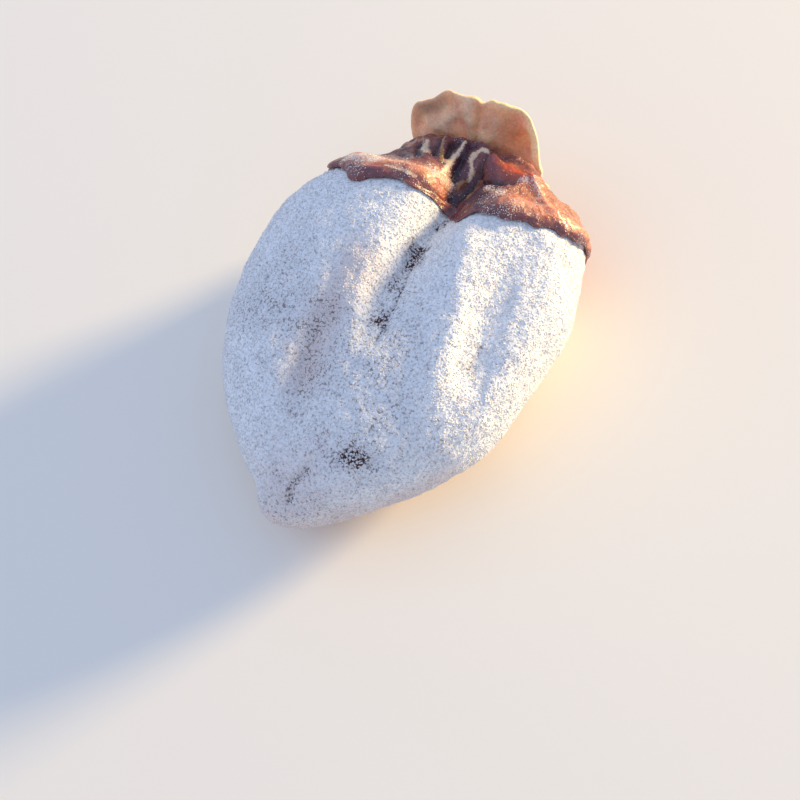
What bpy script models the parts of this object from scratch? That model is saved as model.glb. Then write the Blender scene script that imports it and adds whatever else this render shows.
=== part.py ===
"""A dried, peeled persimmon with sugar bloom, lying on its side on a small flat spot.

+Y runs from the blossom tip to the calyx, +X to the fruit's right, +Z up. The origin is on the flat
spot that it rests on, under the middle of the body.
"""

import bmesh
import bpy
import numpy as np

MM = 0.001  # the sizes below are in millimetres

# Sections of the body from tip to calyx: y, left x, right x, top z, bottom z.
# A bottom below zero is pressed flat at zero, where the fruit rests.
SECTIONS = (
    (-31.3, 1.6, 1.6, 8.8, 8.8),
    (-30.4, -1.6, 4.4, 11.2, 5.8),
    (-27.8, -4.4, 7.8, 14.0, 3.8),
    (-23.2, -9.9, 12.8, 16.8, 1.9),
    (-16.6, -16.2, 19.1, 19.4, 0.5),
    (-8.0, -21.0, 24.1, 21.4, -0.4),
    (2.0, -23.6, 26.1, 22.8, -0.7),
    (12.0, -23.9, 26.9, 23.8, -0.4),
    (19.0, -21.9, 25.8, 24.0, 0.8),
    (23.6, -17.6, 24.7, 23.2, 2.2),
    (27.0, -14.2, 23.4, 21.6, 3.8),
    (30.0, -11.5, 20.4, 20.2, 5.0),
    (32.8, -10.9, 15.2, 18.8, 6.0),
    (34.8, -10.2, 12.2, 17.6, 6.8),
    (35.5, -8.6, 10.4, 16.6, 7.8),
    (35.7, 1.0, 1.0, 12.2, 12.2),
)
SQUARENESS = 2.35  # 2 would make each section an ellipse
WIDEST_AT = 0.48  # height of the widest level, as a share of a section's height

# Folds that dried into the body. Each row: y, x of the fold, depth (below zero it stands up),
# half width on its left, half width on its right.
TOP_FOLDS = {
    "valley": (
        (-8, 4.4, 0.0, 3.2, 4.0),
        (-3, 3.6, 1.0, 3.2, 5.0),
        (4, 2.8, 2.6, 2.9, 5.6),
        (12, 2.7, 4.3, 2.8, 5.2),
        (20.6, 3.8, 5.2, 2.9, 4.4),
        (26.5, 3.7, 4.0, 3.0, 4.0),
        (31, 3.3, 1.6, 2.8, 3.4),
        (34.5, 3.0, 0.0, 2.8, 3.2),
    ),
    "left crease": (
        (-26, 0.8, 0.0, 1.8, 1.8),
        (-22, -0.2, 0.4, 2.2, 2.0),
        (-17, -1.4, 0.9, 2.8, 2.4),
        (-10.5, -2.4, 1.4, 2.8, 2.6),
        (-4, -2.2, 1.0, 2.6, 2.4),
        (1, -3.0, 0.0, 2.4, 2.2),
    ),
    "right crest": (
        (-14, 16.6, 0.0, 3.0, 2.6),
        (-8, 16.6, -0.9, 3.2, 2.4),
        (0, 14.8, -1.3, 3.4, 2.6),
        (7, 12.8, -1.2, 3.4, 2.8),
        (14, 10.2, -0.9, 3.0, 3.0),
        (21, 9.4, 0.0, 2.6, 3.0),
    ),
    "right dent": (
        (-14, 19.0, 0.0, 3.0, 2.2),
        (-6, 19.4, 0.8, 2.6, 2.4),
        (2, 19.2, 1.2, 2.8, 2.4),
        (9, 19.2, 1.2, 3.0, 2.6),
        (18, 19.4, 0.7, 3.2, 2.6),
        (25, 18.8, 0.0, 3.0, 2.4),
    ),
    "outer crest": (
        (-16, 18.6, 0.0, 2.0, 2.4),
        (-8, 22.2, -0.6, 2.0, 2.4),
        (2, 23.8, -0.9, 2.0, 2.6),
        (12, 24.0, -0.8, 2.0, 2.6),
        (22, 22.6, 0.0, 2.0, 2.4),
    ),
    "left swell": (
        (-6, -8.0, 0.0, 3.0, 3.0),
        (2, -8.5, -0.5, 3.0, 2.6),
        (9, -7.0, -0.7, 3.0, 2.4),
        (16, -6.4, 0.0, 3.0, 2.4),
    ),
}
UNDER_FOLDS = {
    "under valley": (
        (10, 0.0, 0.0, 3.0, 3.0),
        (17, -0.6, 1.6, 3.4, 3.4),
        (24, -0.2, 2.6, 3.2, 3.4),
        (30, 0.6, 1.8, 2.8, 3.0),
        (34, 1.0, 0.8, 2.4, 2.4),
    ),
    "left under crease": (
        (-22, -3.0, 0.0, 2.4, 2.4),
        (-14, -10.5, 0.9, 2.8, 2.6),
        (-2, -15.0, 1.2, 3.0, 3.0),
        (12, -15.6, 1.0, 3.0, 3.0),
        (22, -12.0, 0.0, 3.0, 3.0),
    ),
    "right under crease": (
        (-20, 9.0, 0.0, 2.4, 2.4),
        (-10, 15.4, 1.0, 2.8, 3.0),
        (4, 18.4, 1.3, 3.0, 3.0),
        (18, 16.6, 0.9, 3.0, 3.0),
        (26, 13.4, 0.0, 2.6, 2.6),
    ),
}

# The rim where the peel was left on: degrees round the fruit from +X over +Z, y
RIM = (
    (0, 26.0),
    (20, 24.8),
    (33, 23.4),
    (45, 22.3),
    (54, 21.7),
    (62, 20.9),
    (68, 20.2),
    (74, 19.7),
    (82, 20.3),
    (90, 20.9),
    (97, 20.8),
    (103, 20.6),
    (110, 20.4),
    (117, 19.7),
    (124, 20.0),
    (133, 20.8),
    (146, 21.6),
    (162, 22.6),
    (180, 23.4),
    (210, 23.0),
    (240, 21.6),
    (270, 20.9),
    (300, 21.8),
    (330, 24.6),
)

# The peel collar runs from the rim (0) to the calyx (1), a stretch called v here
PEEL_UNDERSIDE = -0.9  # height against the bloomed surface carried on
PEEL_TOP = 0.4
PEEL_END = 0.95  # v of its inner edge
LIP_AT, LIP_WIDE = 0.085, 0.075  # v of the rolled lip and its half width
# Lips: degrees, half width in degrees, height
LIPS = (
    (124, 34, 1.1),
    (46, 32, 1.3),
    (0, 22, 0.9),
    (180, 20, 0.9),
    (222, 28, 1.0),
    (268, 22, 0.8),
    (315, 28, 1.0),
)
LOWEST_LIP = 0.2
LIP_MIX = 4  # the higher, the less neighbouring lips add up
# Puckers: degrees at the rim, degrees at the calyx, half width in degrees, height, v of the top
PUCKERS = (
    (124, 126, 5, 0.9, 0.66),
    (112, 112, 5, 1.5, 0.68),
    (97, 97, 5, 1.7, 0.74),
    (80, 84, 5, 1.7, 0.76),
    (50, 62, 7, 1.5, 0.66),
    (140, 130, 7, 0.7, 0.50),
    (160, 158, 8, 0.6, 0.50),
    (10, 12, 8, 0.8, 0.50),
    (200, 205, 9, 0.7, 0.50),
    (235, 240, 9, 0.8, 0.50),
    (262, 262, 8, 0.6, 0.50),
    (290, 286, 8, 0.8, 0.50),
    (325, 318, 9, 0.7, 0.50),
)
PUCKER_LONG = 0.22  # half length, as a share of v

# Rings of the collar's lip in front of its crest: v, share of the crest's height
LIP_FRONT = ((0.022, 0.1), (0.034, 0.75))
PEEL_ROWS = (0.085, 0.16, 0.27, 0.40, 0.53, 0.66, 0.76, 0.86)  # v of the rings from the crest back
PEEL_EDGE = 0.15  # height of the collar's edge at the calyx
UNDER_ROWS = (0.05, 0.25, 0.45, 0.7, PEEL_END)  # v of the rings of its underside, and of the flesh there

BLOOM_RINGS, BLOOM_SPREAD = 21, 1.15  # rings from the tip to the rim; above 1 they are closer at the tip
STEP_V = 0.012  # v where the flesh steps down under the peel
FLESH_UNDER_PEEL = -1.2  # height of the flesh below the peel
FLESH_END = 35.65  # y of the middle of the flesh's end, behind the calyx
END_RINGS = ((0.7, 0.6), (0.35, 0.12))  # rings of that end: share of its width, how far before its middle

CALYX_MIDDLE = (1.0, 36.0, 12.2)  # on its face towards the fruit
CALYX_RADIUS = 12.3
CALYX_THICK, HUB_THICK = 0.9, 1.5
SEAT_WIDE, SEAT_HIGH = 10.8, 5.4  # half axes of the oval where it lies against the fruit's end
CALYX_LEAN = 0.42  # how far it leans back for each millimetre beyond that oval
# Margin of the calyx: degrees, half width in degrees, rise in radius (the gaps between sepals, corners)
CALYX_MARGIN = (
    (89, 5, -1.1),
    (178, 6, -1.0),
    (268, 7, -1.0),
    (2, 6, -0.8),
    (104, 11, 0.3),
    (157, 13, 1.5),
    (54, 9, 0.6),
)
CALYX_ROWS, CALYX_STEP = (0.12, 0.28, 0.44, 0.58, 0.72, 0.86, 1.0), 5.0  # shares of the radius; degrees
CALYX_LOBES = 0.35  # how far its four sepals stand out
# Ripples of its margin and waves of its face: how many in a turn, phase, height
CALYX_RIPPLES = ((9, 0.6, 0.15), (14, 2.1, 0.12))
CALYX_WAVES = ((5, 0.8, 0.4), (11, 1.0, 0.2))
# Where its margin curls: degrees, half width in degrees, how far (below zero towards the fruit)
CALYX_CURLS = ((26, 20, -1.2), (89, 9, 0.7), (108, 14, 0.2))

STEM_RADIUS, STEM_LENGTH = 1.7, 4.6
# Share of the length, radius against the mean radius
STEM_PROFILE = ((0.0, 1.15), (0.06, 1.35), (0.22, 1.05), (0.5, 0.92), (0.8, 0.98), (0.96, 1.05), (1.0, 0.9))
STEM_CORNERS = 0.06  # how far its three blunt corners stand out, as a share of the radius
STEM_BEND = (0.5, -0.3)  # how far its end lies to the right of its foot and above it
STEM_STEP = 15.0  # degrees between its points
GAP = 0.3  # between neighbouring pieces

FINE_STEP, COARSE_STEP = 3.5, 7.0  # degrees between points, on the folded top and below
FINE_FROM, FINE_TO = -21.0, 203.0
END_U = 13.45  # where the collar's stretch ends, counted in sections
SLOPE_STEP = 0.02  # how far apart points are read for a slope, in sections and in radians


def eased(knots, rows, at):
    """A smooth curve through the rows at the knots, constant beyond both ends."""
    knots, rows = np.asarray(knots, float), np.asarray(rows, float)
    slope = np.zeros_like(rows)
    slope[1:-1] = (rows[2:] - rows[:-2]) / (knots[2:] - knots[:-2])[:, None]
    at = np.clip(at, knots[0], knots[-1])
    i = np.clip(np.searchsorted(knots, at, side="right") - 1, 0, len(knots) - 2)
    span = (knots[i + 1] - knots[i])[..., None]
    f = (at - knots[i])[..., None] / span
    ends = rows[i] * (1 + 2 * f) * (1 - f) ** 2 + rows[i + 1] * f * f * (3 - 2 * f)
    return ends + span * (slope[i] * f * (1 - f) ** 2 + slope[i + 1] * f * f * (f - 1))


def smooth_step(low, high, x):
    f = np.clip((x - low) / (high - low), 0, 1)
    return f * f * (3 - 2 * f)


def bell(distance, width):
    return np.exp(-((distance / width) ** 2))


def turn_from(angle, degrees):
    """Degrees from a direction to the angle, the short way round."""
    return np.degrees(np.angle(np.exp(1j * (angle - np.radians(degrees)))))


def section_at(u):
    """The section at u, counted in sections from the tip; both ends close as round caps."""
    rows = np.array(SECTIONS)
    before = np.r_[rows[1, 0], 2 * rows[0, 1:] - rows[1, 1:]]
    after = np.r_[rows[-2, 0], 2 * rows[-1, 1:] - rows[-2, 1:]]
    rows = np.vstack([before, rows, after])
    i = np.clip(np.floor(u).astype(int), 0, len(SECTIONS) - 2)
    f = (u - i)[..., None]
    a, b, c, d = rows[i], rows[i + 1], rows[i + 2], rows[i + 3]
    bend = (2 * a - 5 * b + 4 * c - d) * f**2 + (3 * b - a - 3 * c + d) * f**3
    return 0.5 * (2 * b + (c - a) * f + bend)


def fold_depth(folds, x, y):
    depth = np.zeros_like(x)
    for rows in folds.values():
        rows = np.array(rows)
        middle, deep, left, right = np.moveaxis(eased(rows[:, 0], rows[:, 1:], y), -1, 0)
        away = x - middle
        depth += deep * bell(away, np.where(away > 0, right, left))
    return depth


def body_surface(u, turn, folded=True):
    """The bloomed surface at section u and turn round the long axis (from +X over +Z)."""
    y, left, right, top, bottom = np.moveaxis(section_at(u), -1, 0)
    middle = bottom + WIDEST_AT * (top - bottom)
    c, s = np.cos(turn), np.sin(turn)
    out = (np.abs(c) ** SQUARENESS + np.abs(s) ** SQUARENESS) ** (-1 / SQUARENESS)
    x = (left + right) / 2 + (right - left) / 2 * c * out
    z = middle + np.where(s > 0, top - middle, middle - bottom) * s * out
    if folded:
        z -= smooth_step(0.1, 0.6, s * out) * fold_depth(TOP_FOLDS, x, y)
        z += smooth_step(0.1, 0.6, -s * out) * fold_depth(UNDER_FOLDS, x, y)
    return np.stack([x, y, np.maximum(z, 0.0)], -1)


def rim_section(turn):
    """How many sections from the tip the rim lies, at this turn."""
    degrees, y = np.array(RIM).T
    degrees = np.r_[degrees[-2:] - 360, degrees, degrees[:2] + 360]
    rows = np.r_[y[-2:], y, y[:2]][:, None]
    y = eased(degrees, rows, np.degrees(turn) % 360)[..., 0]
    fine = np.linspace(0, len(SECTIONS) - 1, 1500)
    return np.interp(y, section_at(fine)[:, 0], fine)


def shoulder(v, turn, height):
    """A point of the shoulder, v of the way from the rim to the calyx, raised by height.

    It is raised along the normal of the body without its folds, so points in a fold don't cross.
    """
    u = rim_section(turn) * (1 - v) + END_U * v
    along = body_surface(u + SLOPE_STEP, turn, False) - body_surface(u - SLOPE_STEP, turn, False)
    round_it = body_surface(u, turn + SLOPE_STEP, False) - body_surface(u, turn - SLOPE_STEP, False)
    normal = np.cross(along, round_it)
    normal /= np.linalg.norm(normal, axis=-1, keepdims=True)
    return body_surface(u, turn) + normal * np.asarray(height)[..., None]


def peel_height(v, turn):
    """Height of the collar's outer face: the rolled lips at the rim, then the radial puckers."""
    lips = np.full_like(turn, LOWEST_LIP**LIP_MIX)
    for degrees, wide, high in LIPS:
        lips = lips + (high * np.exp(-((turn_from(turn, degrees) / wide) ** 4))) ** LIP_MIX
    height = PEEL_TOP + lips ** (1 / LIP_MIX) * bell(v - LIP_AT, LIP_WIDE)
    for at_rim, at_calyx, wide, high, top in PUCKERS:
        middle = at_rim * (1 - v) + at_calyx * v
        height = height + high * bell(turn_from(turn, middle), wide) * bell(v - top, PUCKER_LONG)
    return height


def turns():
    """Angles round the long axis, close together over the folded top."""
    fine = np.arange(FINE_FROM, FINE_TO, FINE_STEP)
    coarse = np.arange(FINE_TO, FINE_FROM + 360, COARSE_STEP)
    return np.radians(np.concatenate([fine, coarse]))


def material(name, colour, roughness, sheen=0.0):
    made = bpy.data.materials.new(name)
    made.use_nodes = True
    shader = made.node_tree.nodes["Principled BSDF"]
    shader.inputs["Base Color"].default_value = (*colour, 1.0)
    shader.inputs["Roughness"].default_value = roughness
    shader.inputs["Metallic"].default_value = 0.0
    shader.inputs["Sheen Weight"].default_value = sheen
    made.diffuse_color = (*colour, 1.0)
    return made


def mirrored_rows(count):
    """Which bands of a two-faced blade lie on its second face."""
    return [band >= count // 2 for band in range(count)]


def closed_skin(name, rings, poles=None, flips=None, finish=None):
    """Joins rings of points into one closed body: with a pole at each end, or end to end.

    Each band is split into triangles along one diagonal, or along the other where flips says so.
    """
    count, around = len(rings), len(rings[0])
    bm = bmesh.new()
    rows = [[bm.verts.new(point * MM) for point in ring] for ring in rings]
    bands = [(i, i + 1) for i in range(count - 1)]
    if poles is None:
        bands.append((count - 1, 0))
    flips = flips or [False] * len(bands)
    for (i, k), flipped in zip(bands, flips):
        for j in range(around):
            n = (j + 1) % around
            a, b, c, d = rows[i][j], rows[i][n], rows[k][n], rows[k][j]
            halves = ((a, b, d), (b, c, d)) if flipped else ((a, b, c), (a, c, d))
            for corners in halves:
                bm.faces.new(corners)
    if poles is not None:
        for pole, row in zip(poles, (rows[0], rows[-1])):
            tip = bm.verts.new(np.array(pole) * MM)
            for j in range(around):
                bm.faces.new((tip, row[j], row[(j + 1) % around]))
    bmesh.ops.recalc_face_normals(bm, faces=bm.faces)
    mesh = bpy.data.meshes.new(name)
    bm.to_mesh(mesh)
    bm.free()
    mesh.shade_smooth()
    mesh.set_sharp_from_angle(angle=np.radians(50))
    made = bpy.data.objects.new(name, mesh)
    bpy.context.scene.collection.objects.link(made)
    mesh.materials.append(finish)
    return made


def make_fruit():
    """The flesh: bloomed up to the rim, stepped down under the peel, closed behind the calyx."""
    turn = turns()
    full = np.ones_like(turn)
    rim = rim_section(turn)
    shares = np.linspace(0, 1, BLOOM_RINGS + 1)[1:] ** BLOOM_SPREAD
    rings = [body_surface(share * rim, turn) for share in shares]
    for v in (STEP_V, *UNDER_ROWS):
        rings.append(shoulder(v * full, turn, FLESH_UNDER_PEEL * full))
    x, _, z = CALYX_MIDDLE
    end = np.array([x, FLESH_END, z])
    widest = rings[-1]
    for share, before in END_RINGS:
        ring = end + (widest - end) * share
        ring[:, 1] = FLESH_END - before
        rings.append(ring)
    tip = body_surface(np.array([0.0]), np.array([0.0]))[0]
    finish = material("sugar bloomed flesh", (0.80, 0.79, 0.77), 0.9, 0.3)
    return closed_skin("fruit", rings, (tip, end), finish=finish)


def make_peel_collar():
    """The ring of skin left on at the shoulder: rolled lips, puckers, and a plain underside."""
    turn = turns()
    full = np.ones_like(turn)
    crest = peel_height(LIP_AT * full, turn)
    outer = [shoulder(v * full, turn, share * crest) for v, share in LIP_FRONT]
    outer += [shoulder(v * full, turn, peel_height(v * full, turn)) for v in PEEL_ROWS]
    outer.append(shoulder(PEEL_END * full, turn, PEEL_EDGE * full))
    inner = [shoulder(v * full, turn, PEEL_UNDERSIDE * full) for v in reversed(UNDER_ROWS)]
    rings = outer + inner
    # The underside runs the other way, so its bands are flipped to lie alike with the flesh's
    flips = [band >= len(outer) for band in range(len(rings))]
    finish = material("dried amber peel", (0.32, 0.07, 0.025), 0.3)
    return closed_skin("peel_collar", rings, flips=flips, finish=finish)


def calyx_radius(turn):
    radius = CALYX_RADIUS + CALYX_LOBES * np.cos(4 * (turn - np.radians(50)))
    for count, phase, high in CALYX_RIPPLES:
        radius = radius + high * np.cos(count * turn + phase)
    for degrees, wide, rise in CALYX_MARGIN:
        radius = radius + rise * bell(turn_from(turn, degrees), wide)
    return radius


def calyx_face(share, turn):
    """The face towards the fruit, share of the way from the hub's middle to the margin.

    It lies flat within an oval, then leans back from the fruit. It is waved towards the margin,
    and its right margin curls forward.
    """
    radius = share * calyx_radius(turn)
    outer = smooth_step(0.35, 1.0, share)
    beyond = radius - 1 / np.hypot(np.cos(turn) / SEAT_WIDE, np.sin(turn) / SEAT_HIGH)
    y = CALYX_MIDDLE[1] + CALYX_LEAN * beyond * smooth_step(-1.0, 2.5, beyond)
    for count, phase, high in CALYX_WAVES:
        y = y + high * outer * np.cos(count * turn + phase)
    for degrees, wide, high in CALYX_CURLS:
        y = y + high * smooth_step(0.6, 1.0, share) * bell(turn_from(turn, degrees), wide)
    x = CALYX_MIDDLE[0] + radius * np.cos(turn)
    z = CALYX_MIDDLE[2] + radius * np.sin(turn)
    return np.stack([x, y, z], -1)


def make_calyx():
    """Four waved sepals grown together in one leathery disc."""
    turn = np.radians(np.arange(0, 360, CALYX_STEP))
    front = [calyx_face(np.full_like(turn, share), turn) for share in CALYX_ROWS]
    back = []
    for share, ring in zip(CALYX_ROWS, front):
        thick = CALYX_THICK + (HUB_THICK - CALYX_THICK) * (1 - smooth_step(0.1, 0.45, share))
        back.append(ring + np.array([0.0, thick, 0.0]))
    rings = front + back[::-1]
    middle = np.array(CALYX_MIDDLE)
    poles = (middle, middle + np.array([0.0, HUB_THICK, 0.0]))
    finish = material("dry calyx", (0.45, 0.28, 0.17), 0.7)
    return closed_skin("calyx", rings, poles, mirrored_rows(len(rings) - 1), finish)


def make_stem():
    """The short stub of the cut stem, flared at its foot and a little bent."""
    turn = np.radians(np.arange(0, 360, STEM_STEP))
    foot = CALYX_MIDDLE[1] + HUB_THICK + GAP
    rings = []
    for share, wide in STEM_PROFILE:
        radius = STEM_RADIUS * wide * (1 + STEM_CORNERS * np.cos(3 * turn + 2 * share))
        x = CALYX_MIDDLE[0] + STEM_BEND[0] * share**2 + radius * np.cos(turn)
        z = CALYX_MIDDLE[2] + STEM_BEND[1] * share**2 + radius * np.sin(turn)
        rings.append(np.stack([x, np.full_like(turn, foot + share * STEM_LENGTH), z], -1))
    poles = (rings[0].mean(axis=0), rings[-1].mean(axis=0))
    finish = material("dry stem", (0.16, 0.10, 0.06), 0.85)
    return closed_skin("stem", rings, poles, finish=finish)


def main():
    for old in list(bpy.data.objects):
        bpy.data.objects.remove(old, do_unlink=True)
    for made in (make_fruit(), make_peel_collar(), make_calyx(), make_stem()):
        print(made.name, len(made.data.polygons), "triangles")


main()
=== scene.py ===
# A dried, peeled persimmon with sugar bloom, lying on its side: its looks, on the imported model's frame.
# Shapes are worked out in millimetres, with +Y from the blossom tip to the calyx and +Z up, and are
# put into the meshes in metres.

import functools

import bpy
import numpy as np
from mathutils import Matrix


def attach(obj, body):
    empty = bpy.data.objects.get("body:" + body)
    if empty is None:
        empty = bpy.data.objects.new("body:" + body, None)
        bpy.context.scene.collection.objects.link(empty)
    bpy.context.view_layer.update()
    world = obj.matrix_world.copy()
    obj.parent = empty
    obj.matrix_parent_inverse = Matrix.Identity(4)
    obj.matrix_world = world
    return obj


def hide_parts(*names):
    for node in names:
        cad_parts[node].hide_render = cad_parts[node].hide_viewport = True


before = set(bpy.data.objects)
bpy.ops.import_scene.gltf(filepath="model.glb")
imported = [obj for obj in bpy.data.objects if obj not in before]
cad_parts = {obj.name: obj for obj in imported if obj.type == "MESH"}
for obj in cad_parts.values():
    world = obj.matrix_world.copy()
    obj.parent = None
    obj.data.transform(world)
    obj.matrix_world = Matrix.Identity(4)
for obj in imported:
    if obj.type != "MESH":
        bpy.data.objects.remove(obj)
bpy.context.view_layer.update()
print("frame:", ", ".join(sorted(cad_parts)))

millimetre = 0.001


# Cubic pieces through the rows at the knots, the slope at a knot joining its two neighbours; constant
# beyond both ends.
def easedRows(knots, rows, at):
    knots, rows = np.asarray(knots, float), np.asarray(rows, float)
    slope = np.zeros_like(rows)
    slope[1:-1] = (rows[2:] - rows[:-2]) / (knots[2:] - knots[:-2])[:, None]
    at = np.clip(at, knots[0], knots[-1])
    i = np.clip(np.searchsorted(knots, at, side="right") - 1, 0, len(knots) - 2)
    span = (knots[i + 1] - knots[i])[..., None]
    f = (at - knots[i])[..., None] / span
    ends = rows[i] * (1 + 2 * f) * (1 - f) ** 2 + rows[i + 1] * f * f * (3 - 2 * f)
    return ends + span * (slope[i] * f * (1 - f) ** 2 + slope[i + 1] * f * f * (f - 1))


# 0 at low, 1 at high, 3f^2 - 2f^3 between them
def smoothStep(low, high, x):
    f = np.clip((x - low) / (high - low), 0, 1)
    return f * f * (3 - 2 * f)


# e to the power of minus (distance / width) squared
def bell(distance, width):
    return np.exp(-((distance / width) ** 2))


# degrees from a direction to the angle, the short way round
def turnFrom(angle, degrees):
    return np.degrees(np.angle(np.exp(1j * (angle - np.radians(degrees)))))


# A bell round a direction, its half width in degrees
def turnBell(angle, degrees, wide):
    return bell(turnFrom(angle, degrees), wide)


# A bell round a place in plan, with half lengths across and along the fruit
def placeBell(x, y, middle, half, width=1.0):
    return bell(np.hypot((x - middle[0]) / half[0], (y - middle[1]) / half[1]), width)


# Distance in plan from a line through the given points, each (x, y)
def awayFromLine(x, y, line):
    nearest = np.full_like(x, 1e9)
    for (ax, ay), (bx, by) in zip(line[:-1], line[1:]):
        dx, dy = bx - ax, by - ay
        f = np.clip(((x - ax) * dx + (y - ay) * dy) / (dx * dx + dy * dy), 0, 1)
        nearest = np.minimum(nearest, np.hypot(x - ax - f * dx, y - ay - f * dy))
    return nearest


# A number from 0 to 1 for each whole-numbered cell, the same on every run: the cell's numbers times
# large primes, mixed by shifts.
def cellRandom(cells, seed):
    mixed = (cells[..., 0] * 73856093) ^ (cells[..., 1] * 19349663) ^ (cells[..., 2] * 83492791)
    mixed = (mixed ^ (seed * 668265263)) & 0xFFFFFFFF
    for _ in range(2):
        mixed = ((mixed ^ (mixed >> 16)) * 0x45D9F3B) & 0xFFFFFFFF
    return (mixed ^ (mixed >> 16)) / 0xFFFFFFFF


# Smooth noise from -1 to 1: random values at the corners of cells, blended by an eased step.
def softNoise(points, cell, seed):
    place = points / cell
    corner = np.floor(place).astype(np.int64)
    f = place - corner
    f = f * f * (3 - 2 * f)
    total = np.zeros(points.shape[:-1])
    for step in np.ndindex(2, 2, 2):
        weight = np.prod(np.where(np.array(step) == 1, f, 1 - f), axis=-1)
        total += weight * cellRandom(corner + np.array(step), seed)
    return 2 * total - 1


# Sum of smooth noises, each of its own size and height, with seeds that count up
def layeredNoise(points, rows, seed):
    return sum(high * softNoise(points, size, seed + k) for k, (size, high) in enumerate(rows))


# Distance, in cells, to the nearest of many scattered points, one in each cell.
def nearestGrain(points, cell, seed):
    place = points / cell
    corner = np.floor(place).astype(np.int64)
    nearest = np.full(points.shape[:-1], 9.0)
    for step in np.ndindex(3, 3, 3):
        neighbour = corner + np.array(step) - 1
        grain = np.stack([cellRandom(neighbour, seed + k) for k in range(3)], -1) + neighbour
        nearest = np.minimum(nearest, np.linalg.norm(place - grain, axis=-1))
    return nearest


# Unit normals of a grid of points whose columns close on themselves: along the rows crossed with
# round the columns, which points outwards on a body whose rows run towards +Y.
def gridNormals(points):
    wrapped = np.concatenate([points[:, -1:], points, points[:, :1]], axis=1)
    along = np.gradient(points, axis=0)
    aroundIt = (wrapped[:, 2:] - wrapped[:, :-2]) / 2
    normals = np.cross(along, aroundIt)
    return normals / np.maximum(np.linalg.norm(normals, axis=-1, keepdims=True), 1e-12)


# A closed mesh from rings of points: quads between neighbouring rings, then a fan at each of two poles,
# or the last ring joined to the first where no poles are given. Attributes have a number for each point.
def closedPiece(name, rings, poles, finish, attributes=None):
    rows, columns = rings.shape[:2]
    index = np.arange(rows * columns).reshape(rows, columns)
    lower = index if poles is None else index[:-1]
    upper = np.roll(index, -1, axis=0) if poles is None else index[1:]
    quads = np.stack([lower, upper, np.roll(upper, -1, axis=1), np.roll(lower, -1, axis=1)], -1)
    corners, sizes = [quads.ravel()], [np.full(quads.size // 4, 4)]
    points = rings.reshape(-1, 3)
    if poles is not None:
        points = np.vstack([points, poles])
        first, last, apex = index[0], index[-1], rows * columns
        fans = (
            np.stack([np.full(columns, apex), first, np.roll(first, -1)], -1),
            np.stack([np.full(columns, apex + 1), np.roll(last, -1), last], -1),
        )
        for fan in fans:
            corners.append(fan.ravel())
            sizes.append(np.full(columns, 3))
    return meshPiece(name, points, np.concatenate(corners), np.concatenate(sizes), finish, attributes)


# A mesh object at the origin from points in millimetres, the faces' corners and their sizes.
def meshPiece(name, points, corners, sizes, finish, attributes=None, smooth=True):
    mesh = bpy.data.meshes.new(name)
    mesh.vertices.add(len(points))
    mesh.vertices.foreach_set("co", (points * millimetre).astype(np.float32).ravel())
    mesh.loops.add(len(corners))
    mesh.loops.foreach_set("vertex_index", corners.astype(np.int32))
    mesh.polygons.add(len(sizes))
    mesh.polygons.foreach_set("loop_start", (np.cumsum(sizes) - sizes).astype(np.int32))
    mesh.update(calc_edges=True)
    mesh.validate()
    for title, values in (attributes or {}).items():
        values = np.asarray(values, np.float32).ravel()
        values = np.concatenate([values, np.repeat(values[-1:], len(points) - len(values))])
        mesh.attributes.new(title, "FLOAT", "POINT").data.foreach_set("value", values)
    if smooth:
        mesh.shade_smooth()
    mesh.materials.append(finish)
    piece = bpy.data.objects.new(name, mesh)
    bpy.context.scene.collection.objects.link(piece)
    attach(piece, "root")
    print("piece:", name, int((sizes - 2).sum()), "triangles")
    return piece


# sRGB hex to linear, by the standard curve
def hexColour(code):
    shares = [int(code[i : i + 2], 16) / 255 for i in (1, 3, 5)]
    return tuple(s / 12.92 if s <= 0.04045 else ((s + 0.055) / 1.055) ** 2.4 for s in shares) + (1.0,)


# Gives a node its inputs: values, or the sockets that feed them
def feed(node, inputs):
    for name, value in inputs.items():
        if isinstance(value, bpy.types.NodeSocket):
            node.id_data.links.new(value, node.inputs[name])
        else:
            node.inputs[name].default_value = value


# Adds a node with its inputs and its own settings, and gives back the named output
def addNode(tree, kind, output, inputs=None, **settings):
    node = tree.nodes.new("ShaderNode" + kind)
    for name, value in settings.items():
        setattr(node, name, value)
    feed(node, inputs or {})
    return node.outputs[output]


# A new material, its shader, addNode for its tree, and the colours turned to linear
def newFinish(name, colours):
    finish = bpy.data.materials.new(name)
    finish.use_nodes = True
    tint = {title: hexColour(code) for title, code in colours.items()}
    add = functools.partial(addNode, finish.node_tree)
    return finish, finish.node_tree.nodes["Principled BSDF"], add, tint


# The scale of a pattern that is this many millimetres across
def scaleOf(across):
    return 1 / (across * millimetre)


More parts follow.
